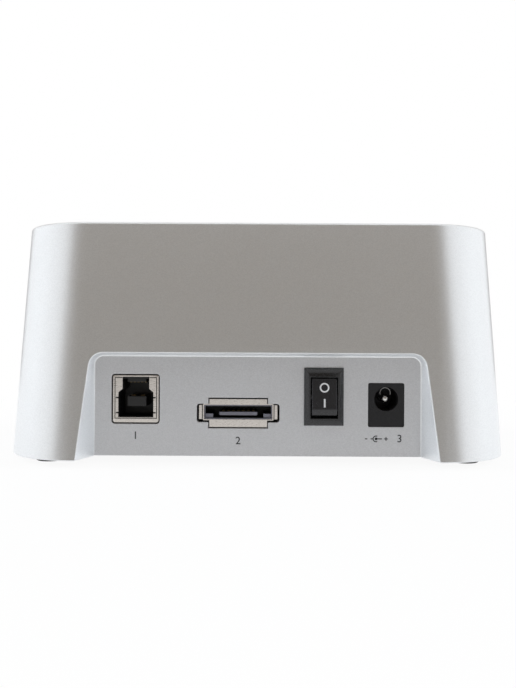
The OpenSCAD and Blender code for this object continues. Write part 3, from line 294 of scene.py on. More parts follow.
def boardLaminate(look):
    material, tree, shader = newFinish(look)
    black = (0, 0, 0, 1)
    white = (1, 1, 1, 1)
    tracks = addNode(tree, "TexBrick", {"Scale": look["tracks"], "Mortar Size": look["trackWidth"],
                                        "Mortar Smooth": look["trackSoft"], "Color1": black,
                                        "Color2": black, "Mortar": white})
    tree.links.new(objectPlace(tree), tracks.inputs["Vector"])
    parts = addNode(tree, "SeparateColor")
    tree.links.new(tracks.outputs["Color"], parts.inputs["Color"])
    tone = tones(tree, parts.outputs["Red"], look["mask"], look["track"], 0.1, 0.9)
    tree.links.new(tone, shader.inputs["Base Color"])
    grain = noise(tree, look["grain"])
    tree.links.new(spread(tree, grain, *look["rough"]), shader.inputs["Roughness"])
    relief(tree, parts.outputs["Red"], shader, look["relief"], grainDepth)
    return material


shellPaint = silverPaint(shellPaintLook)
shadedPanelPaint = silverPaint(shadedPanelPaintLook)
blackPlastic = grained(blackPlasticLook)
framePlastic = grained(framePlasticLook)
jackPlastic = grained(jackPlasticLook)
linkPlastic = grained(linkPlasticLook)
socketPlastic = grained(socketPlasticLook)
deckPlastic = grained(deckPlasticLook)
flapPlastic = grained(flapPlasticLook)
buttonPlastic = grained(buttonPlasticLook)
leverPlastic = grained(leverPlasticLook)
rockerPlastic = grained(rockerPlasticLook)
footRubber = grained(footRubberLook)
chipResin = grained(chipResinLook)
ferrite = grained(ferriteLook)
headerPlastic = grained(headerPlasticLook)
redInsulation = grained(redInsulationLook)
blackInsulation = grained(blackInsulationLook)
ledResin = grained(ledResinLook)
pipeClear = grained(pipeClearLook)
socketSteel = grained(socketSteelLook)
pinSteel = grained(pinSteelLook)
springSteel = grained(springSteelLook)
canAluminium = grained(canAluminiumLook)
shadedGoldContact = grained(shadedGoldContactLook)
contactGold = grained(contactGoldLook)
markInk = grained(markInkLook)
whiteInk = grained(whiteInkLook)
boardMask = boardLaminate(boardLook)
print("finishes made")

# Mesh helpers: angles in degrees, and how much of a direction lies along an axis that it follows

flatAngle = 0.5
sharpAngle = 30
smoothAngle = 40
straight = 0.99
cutNear = 0.0001 * mm


def pointsIn(geom):
    return [g for g in geom if isinstance(g, bmesh.types.BMVert)]


def edgesIn(geom):
    return [g for g in geom if isinstance(g, bmesh.types.BMEdge)]


def copyNode(name):
    bm = bmesh.new()
    bm.from_mesh(frame["nodes"][name].data)
    bmesh.ops.remove_doubles(bm, verts=bm.verts, dist=weld)
    bmesh.ops.dissolve_limit(bm, angle_limit=math.radians(flatAngle), verts=bm.verts, edges=bm.edges)
    return bm


def middle(edge):
    return (edge.verts[0].co + edge.verts[1].co) / 2


def outerEdges(bm, where=None, least=sharpAngle):
    sharp = [e for e in bm.edges if len(e.link_faces) == 2 and e.is_convex]
    sharp = [e for e in sharp if e.calc_face_angle() > math.radians(least)]
    return [e for e in sharp if where is None or where(e)]


def roundEdges(bm, edges, width, steps=2):
    bmesh.ops.bevel(bm, geom=edges, offset=width * mm, offset_type="OFFSET", segments=steps, profile=0.5,
                    affect="EDGES", material=-1, clamp_overlap=False, loop_slide=True)


def addPiece(bm, look):
    for face in bm.faces:
        face.smooth = True
    for edge in bm.edges:
        edge.smooth = len(edge.link_faces) == 2 and edge.calc_face_angle() < math.radians(smoothAngle)
    mesh = bpy.data.meshes.new(look["name"])
    bm.to_mesh(mesh)
    bm.free()
    mesh.materials.append(look["finish"])
    piece = bpy.data.objects.new(look["name"], mesh)
    scene.collection.objects.link(piece)
    normals = piece.modifiers.new("faceNormals", "WEIGHTED_NORMAL")
    normals.keep_sharp = True
    return piece


def standFor(piece, look):
    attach(piece, frame["nodes"][look["node"]]["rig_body"])
    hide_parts(look["node"])
    return piece


def softened(look, where=None):
    bm = copyNode(look["node"])
    edges = outerEdges(bm, where, look.get("least", sharpAngle))
    roundEdges(bm, edges, look["edge"], look.get("steps", 2))
    return standFor(addPiece(bm, look), look)


def cutAcross(bm, at, along):
    geom = bm.verts[:] + bm.edges[:] + bm.faces[:]
    bmesh.ops.bisect_plane(bm, geom=geom, dist=cutNear, plane_co=at, plane_no=along)


def frontFaces(bm, depth):
    flat = [f for f in bm.faces if f.normal.y >= straight]
    return [f for f in flat if f.calc_center_median().y >= depth - hair]


# Sinks faces into a front, and marks the groove for painted shade, which the finish paints near black
def sinkFaces(bm, faces, depth):
    grown = bmesh.ops.extrude_face_region(bm, geom=faces)["geom"]
    sunk = pointsIn(grown)
    bmesh.ops.translate(bm, vec=(0, -depth * mm, 0), verts=sunk)
    bmesh.ops.delete(bm, geom=faces, context="FACES")
    seam = bm.faces.layers.float.new("seam")
    for face in {f for v in sunk for f in v.link_faces}:
        face[seam] = 1.0


def runsBack(edge):
    along = (edge.verts[1].co - edge.verts[0].co).normalized()
    return abs(along.y) > straight


def towardsBack(depth):
    return lambda edge: middle(edge).y > depth - hair


def above(height):
    return lambda edge: middle(edge).z > height - hair


# Round wire: a ring of edges that is pushed straight or turned about an axis

wireSides = 12


def ringPoints(ring):
    return list(dict.fromkeys(v for e in ring for v in e.verts))


def startWire(bm, look, place):
    radius = look["wire"] / 2 * mm
    made = bmesh.ops.create_circle(bm, segments=wireSides, radius=radius, matrix=place)["verts"]
    return [e for e in bm.edges if e.verts[0] in made and e.verts[1] in made]


def pushWire(bm, ring, step):
    grown = bmesh.ops.extrude_edge_only(bm, edges=ring)["geom"]
    ends = pointsIn(grown)
    bmesh.ops.translate(bm, vec=Vector(step) * mm, verts=ends)
    return [e for e in edgesIn(grown) if e.verts[0] in ends and e.verts[1] in ends]


def turnWire(bm, ring, centre, axis, degrees, steps, along=0.0):
    step = Vector(axis).normalized() * along * mm / steps
    made = bmesh.ops.spin(bm, geom=ringPoints(ring) + ring, cent=centre, axis=axis,
                          angle=math.radians(degrees), steps=steps, dvec=step)
    return edgesIn(made["geom_last"])


def closeWire(bm, look):
    bmesh.ops.remove_doubles(bm, verts=bm.verts, dist=weld)
    bmesh.ops.holes_fill(bm, edges=[e for e in bm.edges if e.is_boundary])
    bmesh.ops.recalc_face_normals(bm, faces=bm.faces)
    return addPiece(bm, look)


# Recess round the panel: the panel's gap and how fast the recess opens

recessLook = {"gap": 0.05, "splay": 0.35}


def panelEdge():
    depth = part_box("rear_panel")[1].y
    front = [v.co for v in frame["nodes"]["rear_panel"].data.vertices if v.co.y > depth - hair]
    return max(v.x for v in front), max(v.z for v in front)


# Shell: small rounds on the rim, the recess and the lower edge

shellLook = {"name": "shell", "node": "outer_shell", "slot": "silver_shell", "finish": shellPaint,
             "rim": 0.55, "rimInner": 0.4, "recess": 0.28, "recessFoot": 1.0, "pipeHole": 0.2,
             "pipeFoot": 2.0, "frontShare": 0.8, "leastIn": 0.3, "mostFront": 0.1}


def makeShell(look):
    bm = copyNode(look["node"])
    low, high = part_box(look["node"])
    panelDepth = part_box("rear_panel")[1].y
    halfway = high.z / 2

    def onRim(edge):
        return middle(edge).z > high.z - hair

    def facesOut(edge):
        side = min(edge.link_faces, key=lambda f: f.normal.z).normal
        return side.x * middle(edge).x + side.y * middle(edge).y > 0

    def onFoot(edge):
        return middle(edge).z < low.z + hair

    def onRecess(edge):
        at = middle(edge)
        return at.y > panelDepth + hair and low.z + hair < at.z < halfway

    def onPipeHole(edge):
        at = middle(edge)
        inFront = at.y < low.y * look["frontShare"]
        return inFront and low.z + look["pipeFoot"] * mm < at.z < halfway

    roundEdges(bm, outerEdges(bm, lambda e: onRim(e) and facesOut(e)), look["rim"], 4)
    roundEdges(bm, outerEdges(bm, lambda e: onRim(e) and not facesOut(e)), look["rimInner"], 3)
    roundEdges(bm, outerEdges(bm, lambda e: onFoot(e) or onRecess(e)), look["recess"], 3)
    roundEdges(bm, outerEdges(bm, onPipeHole), look["pipeHole"], 2)

    def inRecess(face):
        at = face.calc_center_median()
        out = face.normal
        inward = max(-out.z, -out.x * math.copysign(1, at.x))
        facesIn = out.y > -look["mostFront"] and inward > look["leastIn"]
        return facesIn and at.y > panelDepth and low.z + look["recessFoot"] * mm < at.z < halfway

    # Marks the recess faces for the paint's painted shade there
    recess = bm.faces.layers.float.new("recess")
    for face in bm.faces:
        face[recess] = float(inRecess(face))
    return standFor(addPiece(bm, look), look)


makeShell(shellLook)

# Panel: soft edges on its openings and round corners where the jack comes through

panelLook = {"name": "panel", "node": "rear_panel", "slot": "silver_panel", "finish": shadedPanelPaint,
             "edge": 0.10, "band": 2.6, "jackCorner": 0.45,
             "behind": ("usb_shell", "link_shell", "switch_frame", "jack_housing")}


def makePanel(look):
    bm = copyNode(look["node"])
    low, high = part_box(look["node"])
    jackLow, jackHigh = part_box("jack_housing")
    jackMiddle = (jackLow.x + jackHigh.x) / 2
    jackHalf = jackHigh.x - jackMiddle
    faceWide, faceTop = panelEdge()
    band = look["band"] * mm
    for node in look["behind"]:
        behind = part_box(node)
        cutAcross(bm, ((behind[0].x + behind[1].x) / 2, 0, 0), (1, 0, 0))

    def onOpening(edge):
        at = middle(edge)
        return abs(at.x) < faceWide - band and low.z + band < at.z < faceTop - band

    def byJack(edge):
        return onOpening(edge) and abs(middle(edge).x - jackMiddle) < jackHalf + band

    def jackCorner(edge):
        return byJack(edge) and runsBack(edge) and abs(middle(edge).x - jackMiddle) > jackHalf

    def softOpening(edge):
        return onOpening(edge) and middle(edge).y > high.y - hair and not byJack(edge)

    roundEdges(bm, [e for e in bm.edges if jackCorner(e)], look["jackCorner"], 4)
    roundEdges(bm, outerEdges(bm, softOpening), look["edge"], 2)
    return standFor(addPiece(bm, look), look)


makePanel(panelLook)

# Bead that fills the corner between the panel and the recess, widest along the top

beadLook = {"name": "panelBead", "slot": "silver_shell", "finish": shellPaint, "corner": 2.35, "width": 0.12,
            "footWidth": 0.04, "rings": 8}


def beadSection(bm, at, width, low):
    inner = Vector((at.x, at.y))
    onWall = inner + Vector((recessLook["splay"], 1)) * width
    onPanel = inner - Vector((width + recessLook["gap"] * mm, 0))
    points = [inner]
    for share in (0, 0.33, 0.67, 1):
        points.append(onWall * (1 - share) ** 2 + inner * 2 * share * (1 - share) + onPanel * share ** 2)
    section = [bm.verts.new((p.x, p.y, low)) for p in points]
    return [bm.edges.new(pair) for pair in zip(section, section[1:] + section[:1])]


def makeBead(look):
    low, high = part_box("rear_panel")
    wide, top = panelEdge()
    wide += recessLook["gap"] * mm
    top += recessLook["gap"] * mm
    corner = look["corner"] * mm
    tall = (top - corner - low.z) / mm
    across = 2 * (wide - corner) / mm
    grow = look["width"] / look["footWidth"]

    def resize(ring, side, by):
        about = Matrix.Translation((-side * wide, -high.y, 0))
        bmesh.ops.scale(bm, vec=(by, by, 1), space=about, verts=ringPoints(ring))

    bm = bmesh.new()
    ring = beadSection(bm, Vector((wide, high.y)), look["footWidth"] * mm, low.z)
    ring = pushWire(bm, ring, (0, 0, tall))
    resize(ring, 1, grow)
    ring = turnWire(bm, ring, (wide - corner, high.y, top - corner), (0, -1, 0), 90, look["rings"])
    ring = pushWire(bm, ring, (-across, 0, 0))
    ring = turnWire(bm, ring, (corner - wide, high.y, top - corner), (0, -1, 0), 90, look["rings"])
    ring = pushWire(bm, ring, (0, 0, -tall))
    resize(ring, -1, 1 / grow)
    piece = closeWire(bm, look)
    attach(piece, "housing")


makeBead(beadLook)
print("shell and panel made")

# Data socket: a folded shell with round corners and thin seams between its front plates, with painted shade
# in the seams

dataShellLook = {"name": "dataShell", "node": "usb_shell", "slot": "socket_steel", "finish": socketSteel,
                 "topCorner": 0.35, "corner": 0.6, "front": 1.8, "edge": 0.06, "seamIn": 0.42, "seam": 0.2,
                 "seamDeep": 0.38, "lowPlate": 1.15, "topPlate": 0.5, "skin": 0.45}
dataInsertLook = {"name": "dataInsert", "node": "usb_insert", "slot": "black_plastic",
                  "finish": socketPlastic, "edge": 0.10}
dataContactsLook = {"name": "dataContacts", "node": "usb_contacts", "slot": "gold", "finish": shadedGoldContact,
                    "edge": 0.06}


def makeDataShell(look):
    bm = copyNode(look["node"])
    low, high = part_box(look["node"])
    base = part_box("usb_insert")[0].z - look["skin"] * mm
    centre = (low.x + high.x) / 2
    front = high.y - look["front"] * mm

    def onCorner(edge):
        at = middle(edge)
        return runsBack(edge) and at.y > front and abs(at.x - centre) > high.x - centre - hair

    def onTopCorner(edge):
        return onCorner(edge) and middle(edge).z > high.z - hair

    def onLowCorner(edge):
        return onCorner(edge) and abs(middle(edge).z - base) < 2 * hair

    cutAcross(bm, (0, front, 0), (0, 1, 0))
    roundEdges(bm, outerEdges(bm, onTopCorner), look["topCorner"], 4)
    roundEdges(bm, outerEdges(bm, onLowCorner), look["corner"], 4)
    roundEdges(bm, outerEdges(bm, towardsBack(high.y)), look["edge"], 2)
    seam0 = high.x - centre - look["seamIn"] * mm
    seam1 = seam0 - look["seam"] * mm
    low1 = base + look["lowPlate"] * mm
    low0 = low1 - look["seam"] * mm
    top1 = high.z - look["topPlate"] * mm
    top0 = top1 - look["seam"] * mm
    for x in (seam0, seam1, -seam0, -seam1):
        cutAcross(bm, (centre + x, 0, 0), (1, 0, 0))
    for z in (low0, low1, top0, top1):
        cutAcross(bm, (0, 0, z), (0, 0, 1))

    def onSeam(face):
        at = face.calc_center_median()
        out = abs(at.x - centre)
        across = low0 < at.z < low1 or top0 < at.z < top1
        return (seam1 < out < seam0 and low0 < at.z < top1) or (across and out < seam0)

    sinkFaces(bm, [f for f in frontFaces(bm, high.y) if onSeam(f)], look["seamDeep"])
    return standFor(addPiece(bm, look), look)


makeDataShell(dataShellLook)
softened(dataInsertLook)
softened(dataContactsLook)

# Drive link socket: round corners, and a gap between the shell and its side tabs, with painted shade in the
# gap

linkShellLook = {"name": "linkShell", "node": "link_shell", "slot": "socket_steel", "finish": socketSteel,
                 "corner": 0.22, "front": 1.8, "edge": 0.06, "tabGap": 0.25, "gapDeep": 0.36, "tab": 1.0,
                 "sliver": 0.02}
linkInsertLook = {"name": "linkInsert", "node": "link_insert", "slot": "black_plastic",
                  "finish": linkPlastic, "edge": 0.08, "noseIn": 2.0, "noseLitFacing": 0.9}
linkContactsLook = {"name": "linkContacts", "node": "link_contacts", "slot": "gold", "finish": shadedGoldContact,
                    "edge": 0.06}


def makeLinkShell(look):
    bm = copyNode(look["node"])
    low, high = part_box(look["node"])
    centre = (low.x + high.x) / 2
    wall = high.x - centre - look["tab"] * mm
    front = high.y - look["front"] * mm

    def onCorner(edge):
        at = middle(edge)
        return runsBack(edge) and at.y > front and abs(abs(at.x - centre) - wall) < hair

    cutAcross(bm, (0, front, 0), (0, 1, 0))
    roundEdges(bm, outerEdges(bm, onCorner), look["corner"], 4)
    roundEdges(bm, outerEdges(bm, towardsBack(high.y)), look["edge"], 2)
    gap = wall + look["tabGap"] * mm
    start = wall + look["sliver"] * mm
    for x in (gap, -gap, start, -start):
        cutAcross(bm, (centre + x, 0, 0), (1, 0, 0))

    def inGap(face):
        return wall < abs(face.calc_center_median().x - centre) < gap

    sinkFaces(bm, [f for f in frontFaces(bm, high.y) if inGap(f)], look["gapDeep"])
    return standFor(addPiece(bm, look), look)


def makeLinkInsert(look):
    bm = copyNode(look["node"])
    roundEdges(bm, outerEdges(bm), look["edge"], 2)
    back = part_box(look["node"])[1].y - look["noseIn"] * mm
    # Marks the tongue's faces that face back, for painted light in the finish
    nose = bm.faces.layers.float.new("nose")
    for face in bm.faces:
        face[nose] = float(face.normal.y > look["noseLitFacing"] and face.calc_center_median().y > back)
    return standFor(addPiece(bm, look), look)


makeLinkShell(linkShellLook)
makeLinkInsert(linkInsertLook)
softened(linkContactsLook)
print("sockets made")

# Power jack, with round corners on its face

jackHousingLook = {"name": "jackHousing", "node": "jack_housing", "slot": "black_plastic",
                   "finish": jackPlastic, "corner": 0.36, "edge": 0.10}
jackPinLook = {"name": "jackPin", "node": "jack_pin", "slot": "socket_steel", "finish": pinSteel,
               "edge": 0.05}
jackSpringLook = {"name": "jackSpring", "node": "jack_spring", "slot": "spring_steel",
                  "finish": springSteel, "edge": 0.06}


def makeJackHousing(look):
    bm = copyNode(look["node"])
    low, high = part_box(look["node"])
    centre = (low.x + high.x) / 2

    def onCorner(edge):
        at = middle(edge)
        atSide = abs(at.x - centre) > high.x - centre - hair
        return runsBack(edge) and atSide

    cutAcross(bm, (centre, 0, 0), (1, 0, 0))
    roundEdges(bm, outerEdges(bm, onCorner), look["corner"], 4)
    roundEdges(bm, outerEdges(bm, towardsBack(high.y)), look["edge"], 3)
    return standFor(addPiece(bm, look), look)


makeJackHousing(jackHousingLook)
softened(jackPinLook)
softened(jackSpringLook)
print("power jack made")

# Rocker switch

switchFrameLook = {"name": "switchFrame", "node": "switch_frame", "slot": "black_plastic",
                   "finish": framePlastic, "edge": 0.07, "least": 50}
switchRockerLook = {"name": "switchRocker", "node": "switch_rocker", "slot": "rocker_plastic",
                    "finish": rockerPlastic, "edge": 0.22, "steps": 3}
switchTerminalsLook = {"name": "switchTerminals", "node": "switch_terminals", "slot": "gold",
                       "finish": contactGold, "edge": 0.1}

softened(switchFrameLook)
softened(switchRockerLook)
softened(switchTerminalsLook)
print("rocker switch made")

# Deck, flap, well and eject parts

deckLook = {"name": "deck", "node": "top_deck", "slot": "deck_plastic", "finish": deckPlastic, "edge": 0.5,
            "steps": 3}
flapLook = {"name": "flap", "node": "flap_door", "slot": "flap_plastic", "finish": flapPlastic, "edge": 0.3,
            "steps": 3}
flapPinLook = {"name": "flapPin", "node": "flap_pin", "slot": "steel", "finish": pinSteel, "edge": 0.15}
wellLook = {"name": "well", "node": "drive_well", "slot": "black_plastic", "finish": blackPlastic,
            "edge": 0.2, "aboveBoard": 5.1}
buttonLook = {"name": "button", "node": "eject_button", "slot": "button_plastic", "finish": buttonPlastic,
              "edge": 0.3, "steps": 3}
leverLook = {"name": "lever", "node": "eject_lever", "slot": "lever_plastic", "finish": leverPlastic,
             "edge": 0.15}
leverPinLook = {"name": "leverPin", "node": "lever_pin", "slot": "steel", "finish": pinSteel, "edge": 0.12}
baseLook = {"name": "base", "node": "base_plate", "slot": "black_plastic", "finish": blackPlastic,
            "edge": 0.2}
feetLook = {"name": "feet", "node": "rubber_feet", "slot": "foot_rubber", "finish": footRubber, "edge": 0.25}
baseScrewsLook = {"name": "baseScrews", "node": "base_screws", "slot": "steel", "finish": pinSteel,
                  "edge": 0.12}
deckScrewsLook = {"name": "deckScrews", "node": "deck_screws", "slot": "steel", "finish": pinSteel,
                  "edge": 0.12}
boardScrewsLook = {"name": "boardScrews", "node": "board_screws", "slot": "steel", "finish": pinSteel,
                   "edge": 0.12}

softened(deckLook, above(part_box("top_deck")[1].z))
softened(flapLook, above(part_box("flap_door")[1].z))
softened(wellLook, above(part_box("main_board")[1].z + wellLook["aboveBoard"] * mm))
for look in (flapPinLook, buttonLook, leverLook, leverPinLook, baseLook, feetLook, baseScrewsLook,
             deckScrewsLook, boardScrewsLook):
    softened(look)
print("deck, well, base and fasteners made")

# Board and what is soldered to it

boardPieceLook = {"name": "board", "node": "main_board", "slot": "board_laminate", "finish": boardMask,
                  "edge": 0.08}
driveSocketLook = {"name": "driveSocket", "node": "drive_socket", "slot": "black_plastic",
                   "finish": socketPlastic, "edge": 0.12}
driveContactsLook = {"name": "driveContacts", "node": "drive_socket_contacts", "slot": "gold",
                     "finish": contactGold, "edge": 0.06}
leadHeaderLook = {"name": "leadHeader", "node": "lead_header", "slot": "header_plastic",
                  "finish": headerPlastic, "edge": 0.2}
bridgeChipLook = {"name": "bridgeChip", "node": "bridge_chip", "slot": "chip_resin", "finish": chipResin,
                  "edge": 0.06}
supplyChipsLook = {"name": "supplyChips", "node": "regulators", "slot": "chip_resin", "finish": chipResin,
                   "edge": 0.06}
cansLook = {"name": "cans", "node": "capacitors", "slot": "can_aluminium", "finish": canAluminium,
            "edge": 0.4, "steps": 4}
chokesLook = {"name": "chokes", "node": "inductors", "slot": "ferrite", "finish": ferrite, "edge": 0.3}
crystalCanLook = {"name": "crystalCan", "node": "crystal", "slot": "socket_steel", "finish": socketSteel,
                  "edge": 0.25, "steps": 3}
ledsLook = {"name": "leds", "node": "status_leds", "slot": "led_resin", "finish": ledResin, "edge": 0.15}
pipesLook = {"name": "pipes", "node": "light_pipes", "slot": "pipe_clear", "finish": pipeClear, "edge": 0.4,
             "steps": 4}

softened(cansLook, above(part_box("capacitors")[1].z))
for look in (boardPieceLook, driveSocketLook, driveContactsLook, leadHeaderLook, bridgeChipLook,
             supplyChipsLook, chokesLook, crystalCanLook, ledsLook, pipesLook):
    softened(look)
print("board and components made")

# Curled end of the jack's sleeve contact, under the top of the bore

jackCurlLook = {"name": "jackCurl", "slot": "spring_steel", "finish": springSteel, "radius": 1.3,
                "wire": 0.16, "up": 1.5, "deep": 1.7, "open": 140, "rings": 28}


def makeJackCurl(look):
    low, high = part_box("jack_pin")
    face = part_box("jack_housing")[1].y
    pin = (low + high) / 2
    centre = Vector((pin.x, face - look["deep"] * mm, pin.z + look["up"] * mm))
    start = Matrix.Translation(centre) @ Matrix.Rotation(math.radians(180 + look["open"] / 2), 4, "Y")
    rim = Matrix.Translation((0, 0, look["radius"] * mm)) @ Matrix.Rotation(math.radians(90), 4, "Y")
    bm = bmesh.new()
    ring = startWire(bm, look, start @ rim)
    turnWire(bm, ring, centre, (0, 1, 0), 360 - look["open"], look["rings"])
    piece = closeWire(bm, look)
    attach(piece, "housing")


makeJackCurl(jackCurlLook)

# Button spring, a coil of round wire

buttonSpringLook = {"name": "buttonCoil", "node": "button_spring", "slot": "spring_steel",
                    "finish": springSteel, "wire": 0.6, "turns": 7, "rings": 24}


def makeButtonSpring(look):
    low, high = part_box(look["node"])
    stem = Vector(((low.x + high.x) / 2, (low.y + high.y) / 2, low.z + look["wire"] / 2 * mm))
    radius = (high.y - low.y - look["wire"] * mm) / 2
    rise = (high.z - low.z) / mm - look["wire"]
    bm = bmesh.new()
    place = Matrix.Translation(stem + Vector((radius, 0, 0))) @ Matrix.Rotation(math.radians(90), 4, "X")
    ring = startWire(bm, look, place)
    turnWire(bm, ring, stem, (0, 0, 1), 360 * look["turns"], look["turns"] * look["rings"], rise)
    piece = standFor(closeWire(bm, look), look)
    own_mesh(piece)


makeButtonSpring(buttonSpringLook)

# Flap springs: one leg under the flap, turns on the pin, one leg under the deck

flapSpringLook = {"node": "flap_springs", "slot": "spring_steel", "finish": springSteel, "wire": 0.5,
                  "radius": 1.75, "turns": 5.25, "rings": 24, "pitch": 0.95, "leg": 7.0, "rise": 0.9,
                  "bend": 1.0, "bendRings": 8, "tail": 3.4,
                  "middles": {"flapSpringLeft": 7.0, "flapSpringRight": -7.0}}


def makeFlapSpring(name, x, look):
    hinge = Vector(joints["flap_hinge"]["pos_m"])
    coil = look["turns"] * look["pitch"]
    start = Vector(((x - coil / 2) * mm, hinge.y, hinge.z))
    bm = bmesh.new()
    legEnd = start + Vector((0, look["leg"], -look["radius"])) * mm
    ring = startWire(bm, look, Matrix.Translation(legEnd) @ Matrix.Rotation(math.radians(90), 4, "X"))
    ring = pushWire(bm, ring, (0, -look["leg"], 0))
    rings = round(look["turns"] * look["rings"])
    ring = turnWire(bm, ring, start, (-1, 0, 0), 360 * look["turns"], rings, -coil)
    ring = pushWire(bm, ring, (0, 0, look["rise"]))
    bend = start + Vector((coil, -look["radius"] - look["bend"], look["rise"])) * mm
    ring = turnWire(bm, ring, bend, (1, 0, 0), 90, look["bendRings"])
    pushWire(bm, ring, (0, -look["tail"], 0))
    piece = closeWire(bm, {"name": name, "finish": look["finish"]})
    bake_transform(piece)
    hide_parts(look["node"])


for name, x in flapSpringLook["middles"].items():
    makeFlapSpring(name, x, flapSpringLook)
print("springs wound")

# Switch leads, from the terminals to the header

leadLook = {"width": 1.4, "sides": 4, "steps": 10, "solderIn": 1.5, "solderEdge": 0.3, "out": 1.2,
            "pinX": 1.2,
            "upper": {"name": "redLead", "finish": redInsulation},
            "lower": {"name": "blackLead", "finish": blackInsulation}}


def meshOf(data):
    holder = bpy.data.objects.new(data.name, data)
    scene.collection.objects.link(holder)
    bm = bmesh.new()
    bm.from_mesh(holder.evaluated_get(bpy.context.evaluated_depsgraph_get()).to_mesh())
    bpy.data.objects.remove(holder)
    bmesh.ops.remove_doubles(bm, verts=bm.verts, dist=weld)
    return bm


def makeLead(look, route):
    curve = bpy.data.curves.new(look["name"], "CURVE")
    curve.dimensions = "3D"
    curve.bevel_depth = leadLook["width"] / 2 * mm
    curve.bevel_resolution = leadLook["sides"]
    curve.resolution_u = leadLook["steps"]
    curve.use_fill_caps = True
    spline = curve.splines.new("BEZIER")
    spline.bezier_points.add(len(route) - 1)
    for point, at in zip(spline.bezier_points, route):
        point.co = at
        point.handle_left_type = point.handle_right_type = "AUTO"
    bm = meshOf(curve)
    bmesh.ops.recalc_face_normals(bm, faces=bm.faces)
    piece = addPiece(bm, look)
    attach(piece, "housing")
    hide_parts("switch_leads")


def makeLeads(look):
    low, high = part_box("switch_terminals")
    headLow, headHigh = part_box("lead_header")
    blade = (low.x + high.x) / 2
    solder = low.y + look["solderIn"] * mm
    out = blade + look["out"] * mm
    upper = high.z - look["solderEdge"] * mm
    lower = low.z + look["solderEdge"] * mm
    head = Vector(((headLow.x + headHigh.x) / 2, (headLow.y + headHigh.y) / 2, headHigh.z))

    def fromHead(x, y, z):
        return (head.x + x * mm, y, head.z + z * mm)

    upperRise = (upper - head.z) / mm
    makeLead(look["upper"], [
        (blade, solder, upper), (out, solder, upper), fromHead(-4.6, solder, upperRise + 0.5),
        fromHead(-2.6, solder + 0.6 * mm, upperRise + 0.5),
        fromHead(-1.5, solder + 1.4 * mm, upperRise - 0.7), fromHead(-look["pinX"], head.y, 3.0),
        fromHead(-look["pinX"], head.y, 1.6), fromHead(-look["pinX"], head.y, 0.0)])
    lowerRise = (lower - head.z) / mm
    makeLead(look["lower"], [
        (blade, solder, lower), (out, solder, lower),
        fromHead(-4.6, solder - 0.6 * mm, lowerRise + 0.8), fromHead(-2.4, solder - 0.9 * mm, 1.4),
        fromHead(-0.4, solder - 0.5 * mm, 3.2), fromHead(0.9, solder + 0.8 * mm, 3.6),
        fromHead(look["pinX"], head.y, 2.6), fromHead(look["pinX"], head.y, 1.4),
        fromHead(look["pinX"], head.y, 0.0)])


makeLeads(leadLook)
print("leads laid")

# Printed marks, read from behind: up is +Z and right is -X

inkThick = 0.02
ringSides = 40
dotSides = 24


def wallPlace(x, y, z, lean=0.0):
    face = Matrix(((-1, 0, 0, 0), (0, 0, 1, 0), (0, 1, 0, 0), (0, 0, 0, 1)))
    return Matrix.Translation((x, y, z)) @ Matrix.Rotation(math.radians(lean), 4, "X") @ face


def inkPiece(bm, look, place, body="housing"):
    grown = bmesh.ops.extrude_face_region(bm, geom=bm.faces[:])["geom"]
    bmesh.ops.translate(bm, vec=(0, 0, inkThick * mm), verts=pointsIn(grown))
    bmesh.ops.transform(bm, matrix=place, verts=bm.verts)
    bmesh.ops.recalc_face_normals(bm, faces=bm.faces)
    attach(addPiece(bm, look), body)


def inkBar(bm, x, y, width, height, corner=0.0):
    place = Matrix.Translation((x * mm, y * mm, 0)) @ Matrix.Diagonal((width * mm, height * mm, 1, 1))
    made = bmesh.ops.create_grid(bm, x_segments=1, y_segments=1, size=0.5, matrix=place)["verts"]
    if corner:
        bmesh.ops.bevel(bm, geom=made, offset=corner * mm, offset_type="OFFSET", segments=3, profile=0.5,
                        affect="VERTICES", material=-1)


def inkRing(bm, x, y, radius, thick):
    place = Matrix.Translation((x * mm, y * mm, 0))
    made = bmesh.ops.create_circle(bm, cap_ends=True, segments=ringSides, radius=radius * mm,
                                   matrix=place)["verts"]
    disc = [f for f in bm.faces if all(v in made for v in f.verts)]
    bmesh.ops.inset_region(bm, faces=disc, thickness=thick * mm, use_boundary=True, use_even_offset=True)
    bmesh.ops.delete(bm, geom=disc, context="FACES_ONLY")


rockerMarksLook = {"name": "rockerMarks", "finish": whiteInk, "lean": 10, "nose": 1.5, "ringUp": 2.4,
                   "ring": 1.2, "thick": 0.36, "barUp": -1.45, "bar": (0.42, 2.1)}


def makeRockerMarks(look):
    low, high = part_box("switch_rocker")
    tall = (high.z - low.z) / mm
    back = (tall / 2 - look["nose"]) * math.tan(math.radians(look["lean"])) * mm
    bm = bmesh.new()
    inkRing(bm, 0, look["ringUp"], look["ring"], look["thick"])
    inkBar(bm, 0, look["barUp"], *look["bar"])
    place = wallPlace((low.x + high.x) / 2, high.y - back, (low.z + high.z) / 2, look["lean"])
    inkPiece(bm, look, place, "rocker")


makeRockerMarks(rockerMarksLook)

oneLook = {"name": "numberOne", "finish": markInk, "text": "1", "node": "usb_shell", "x": 0, "z": 7.0,
           "size": 2.7, "weight": 0.02}
twoLook = {"name": "numberTwo", "finish": markInk, "text": "2", "node": "link_shell", "x": 0, "z": 5.8,
           "size": 2.7, "weight": 0.02}
threeLook = {"name": "numberThree", "finish": markInk, "text": "3", "node": "jack_housing", "x": -3.4,
             "z": 6.5, "size": 2.7, "weight": 0.02}


def makeNumber(look):
    low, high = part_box(look["node"])
    words = bpy.data.curves.new(look["name"], "FONT")
    words.body = look["text"]
    words.size = look["size"] * mm
    words.offset = look["weight"] * mm
    words.align_x = "CENTER"
    words.align_y = "CENTER"
    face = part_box("rear_panel")[1].y
    inkPiece(meshOf(words), look, wallPlace((low.x + high.x) / 2 + look["x"] * mm, face, look["z"] * mm))


makeNumber(oneLook)
makeNumber(twoLook)
makeNumber(threeLook)

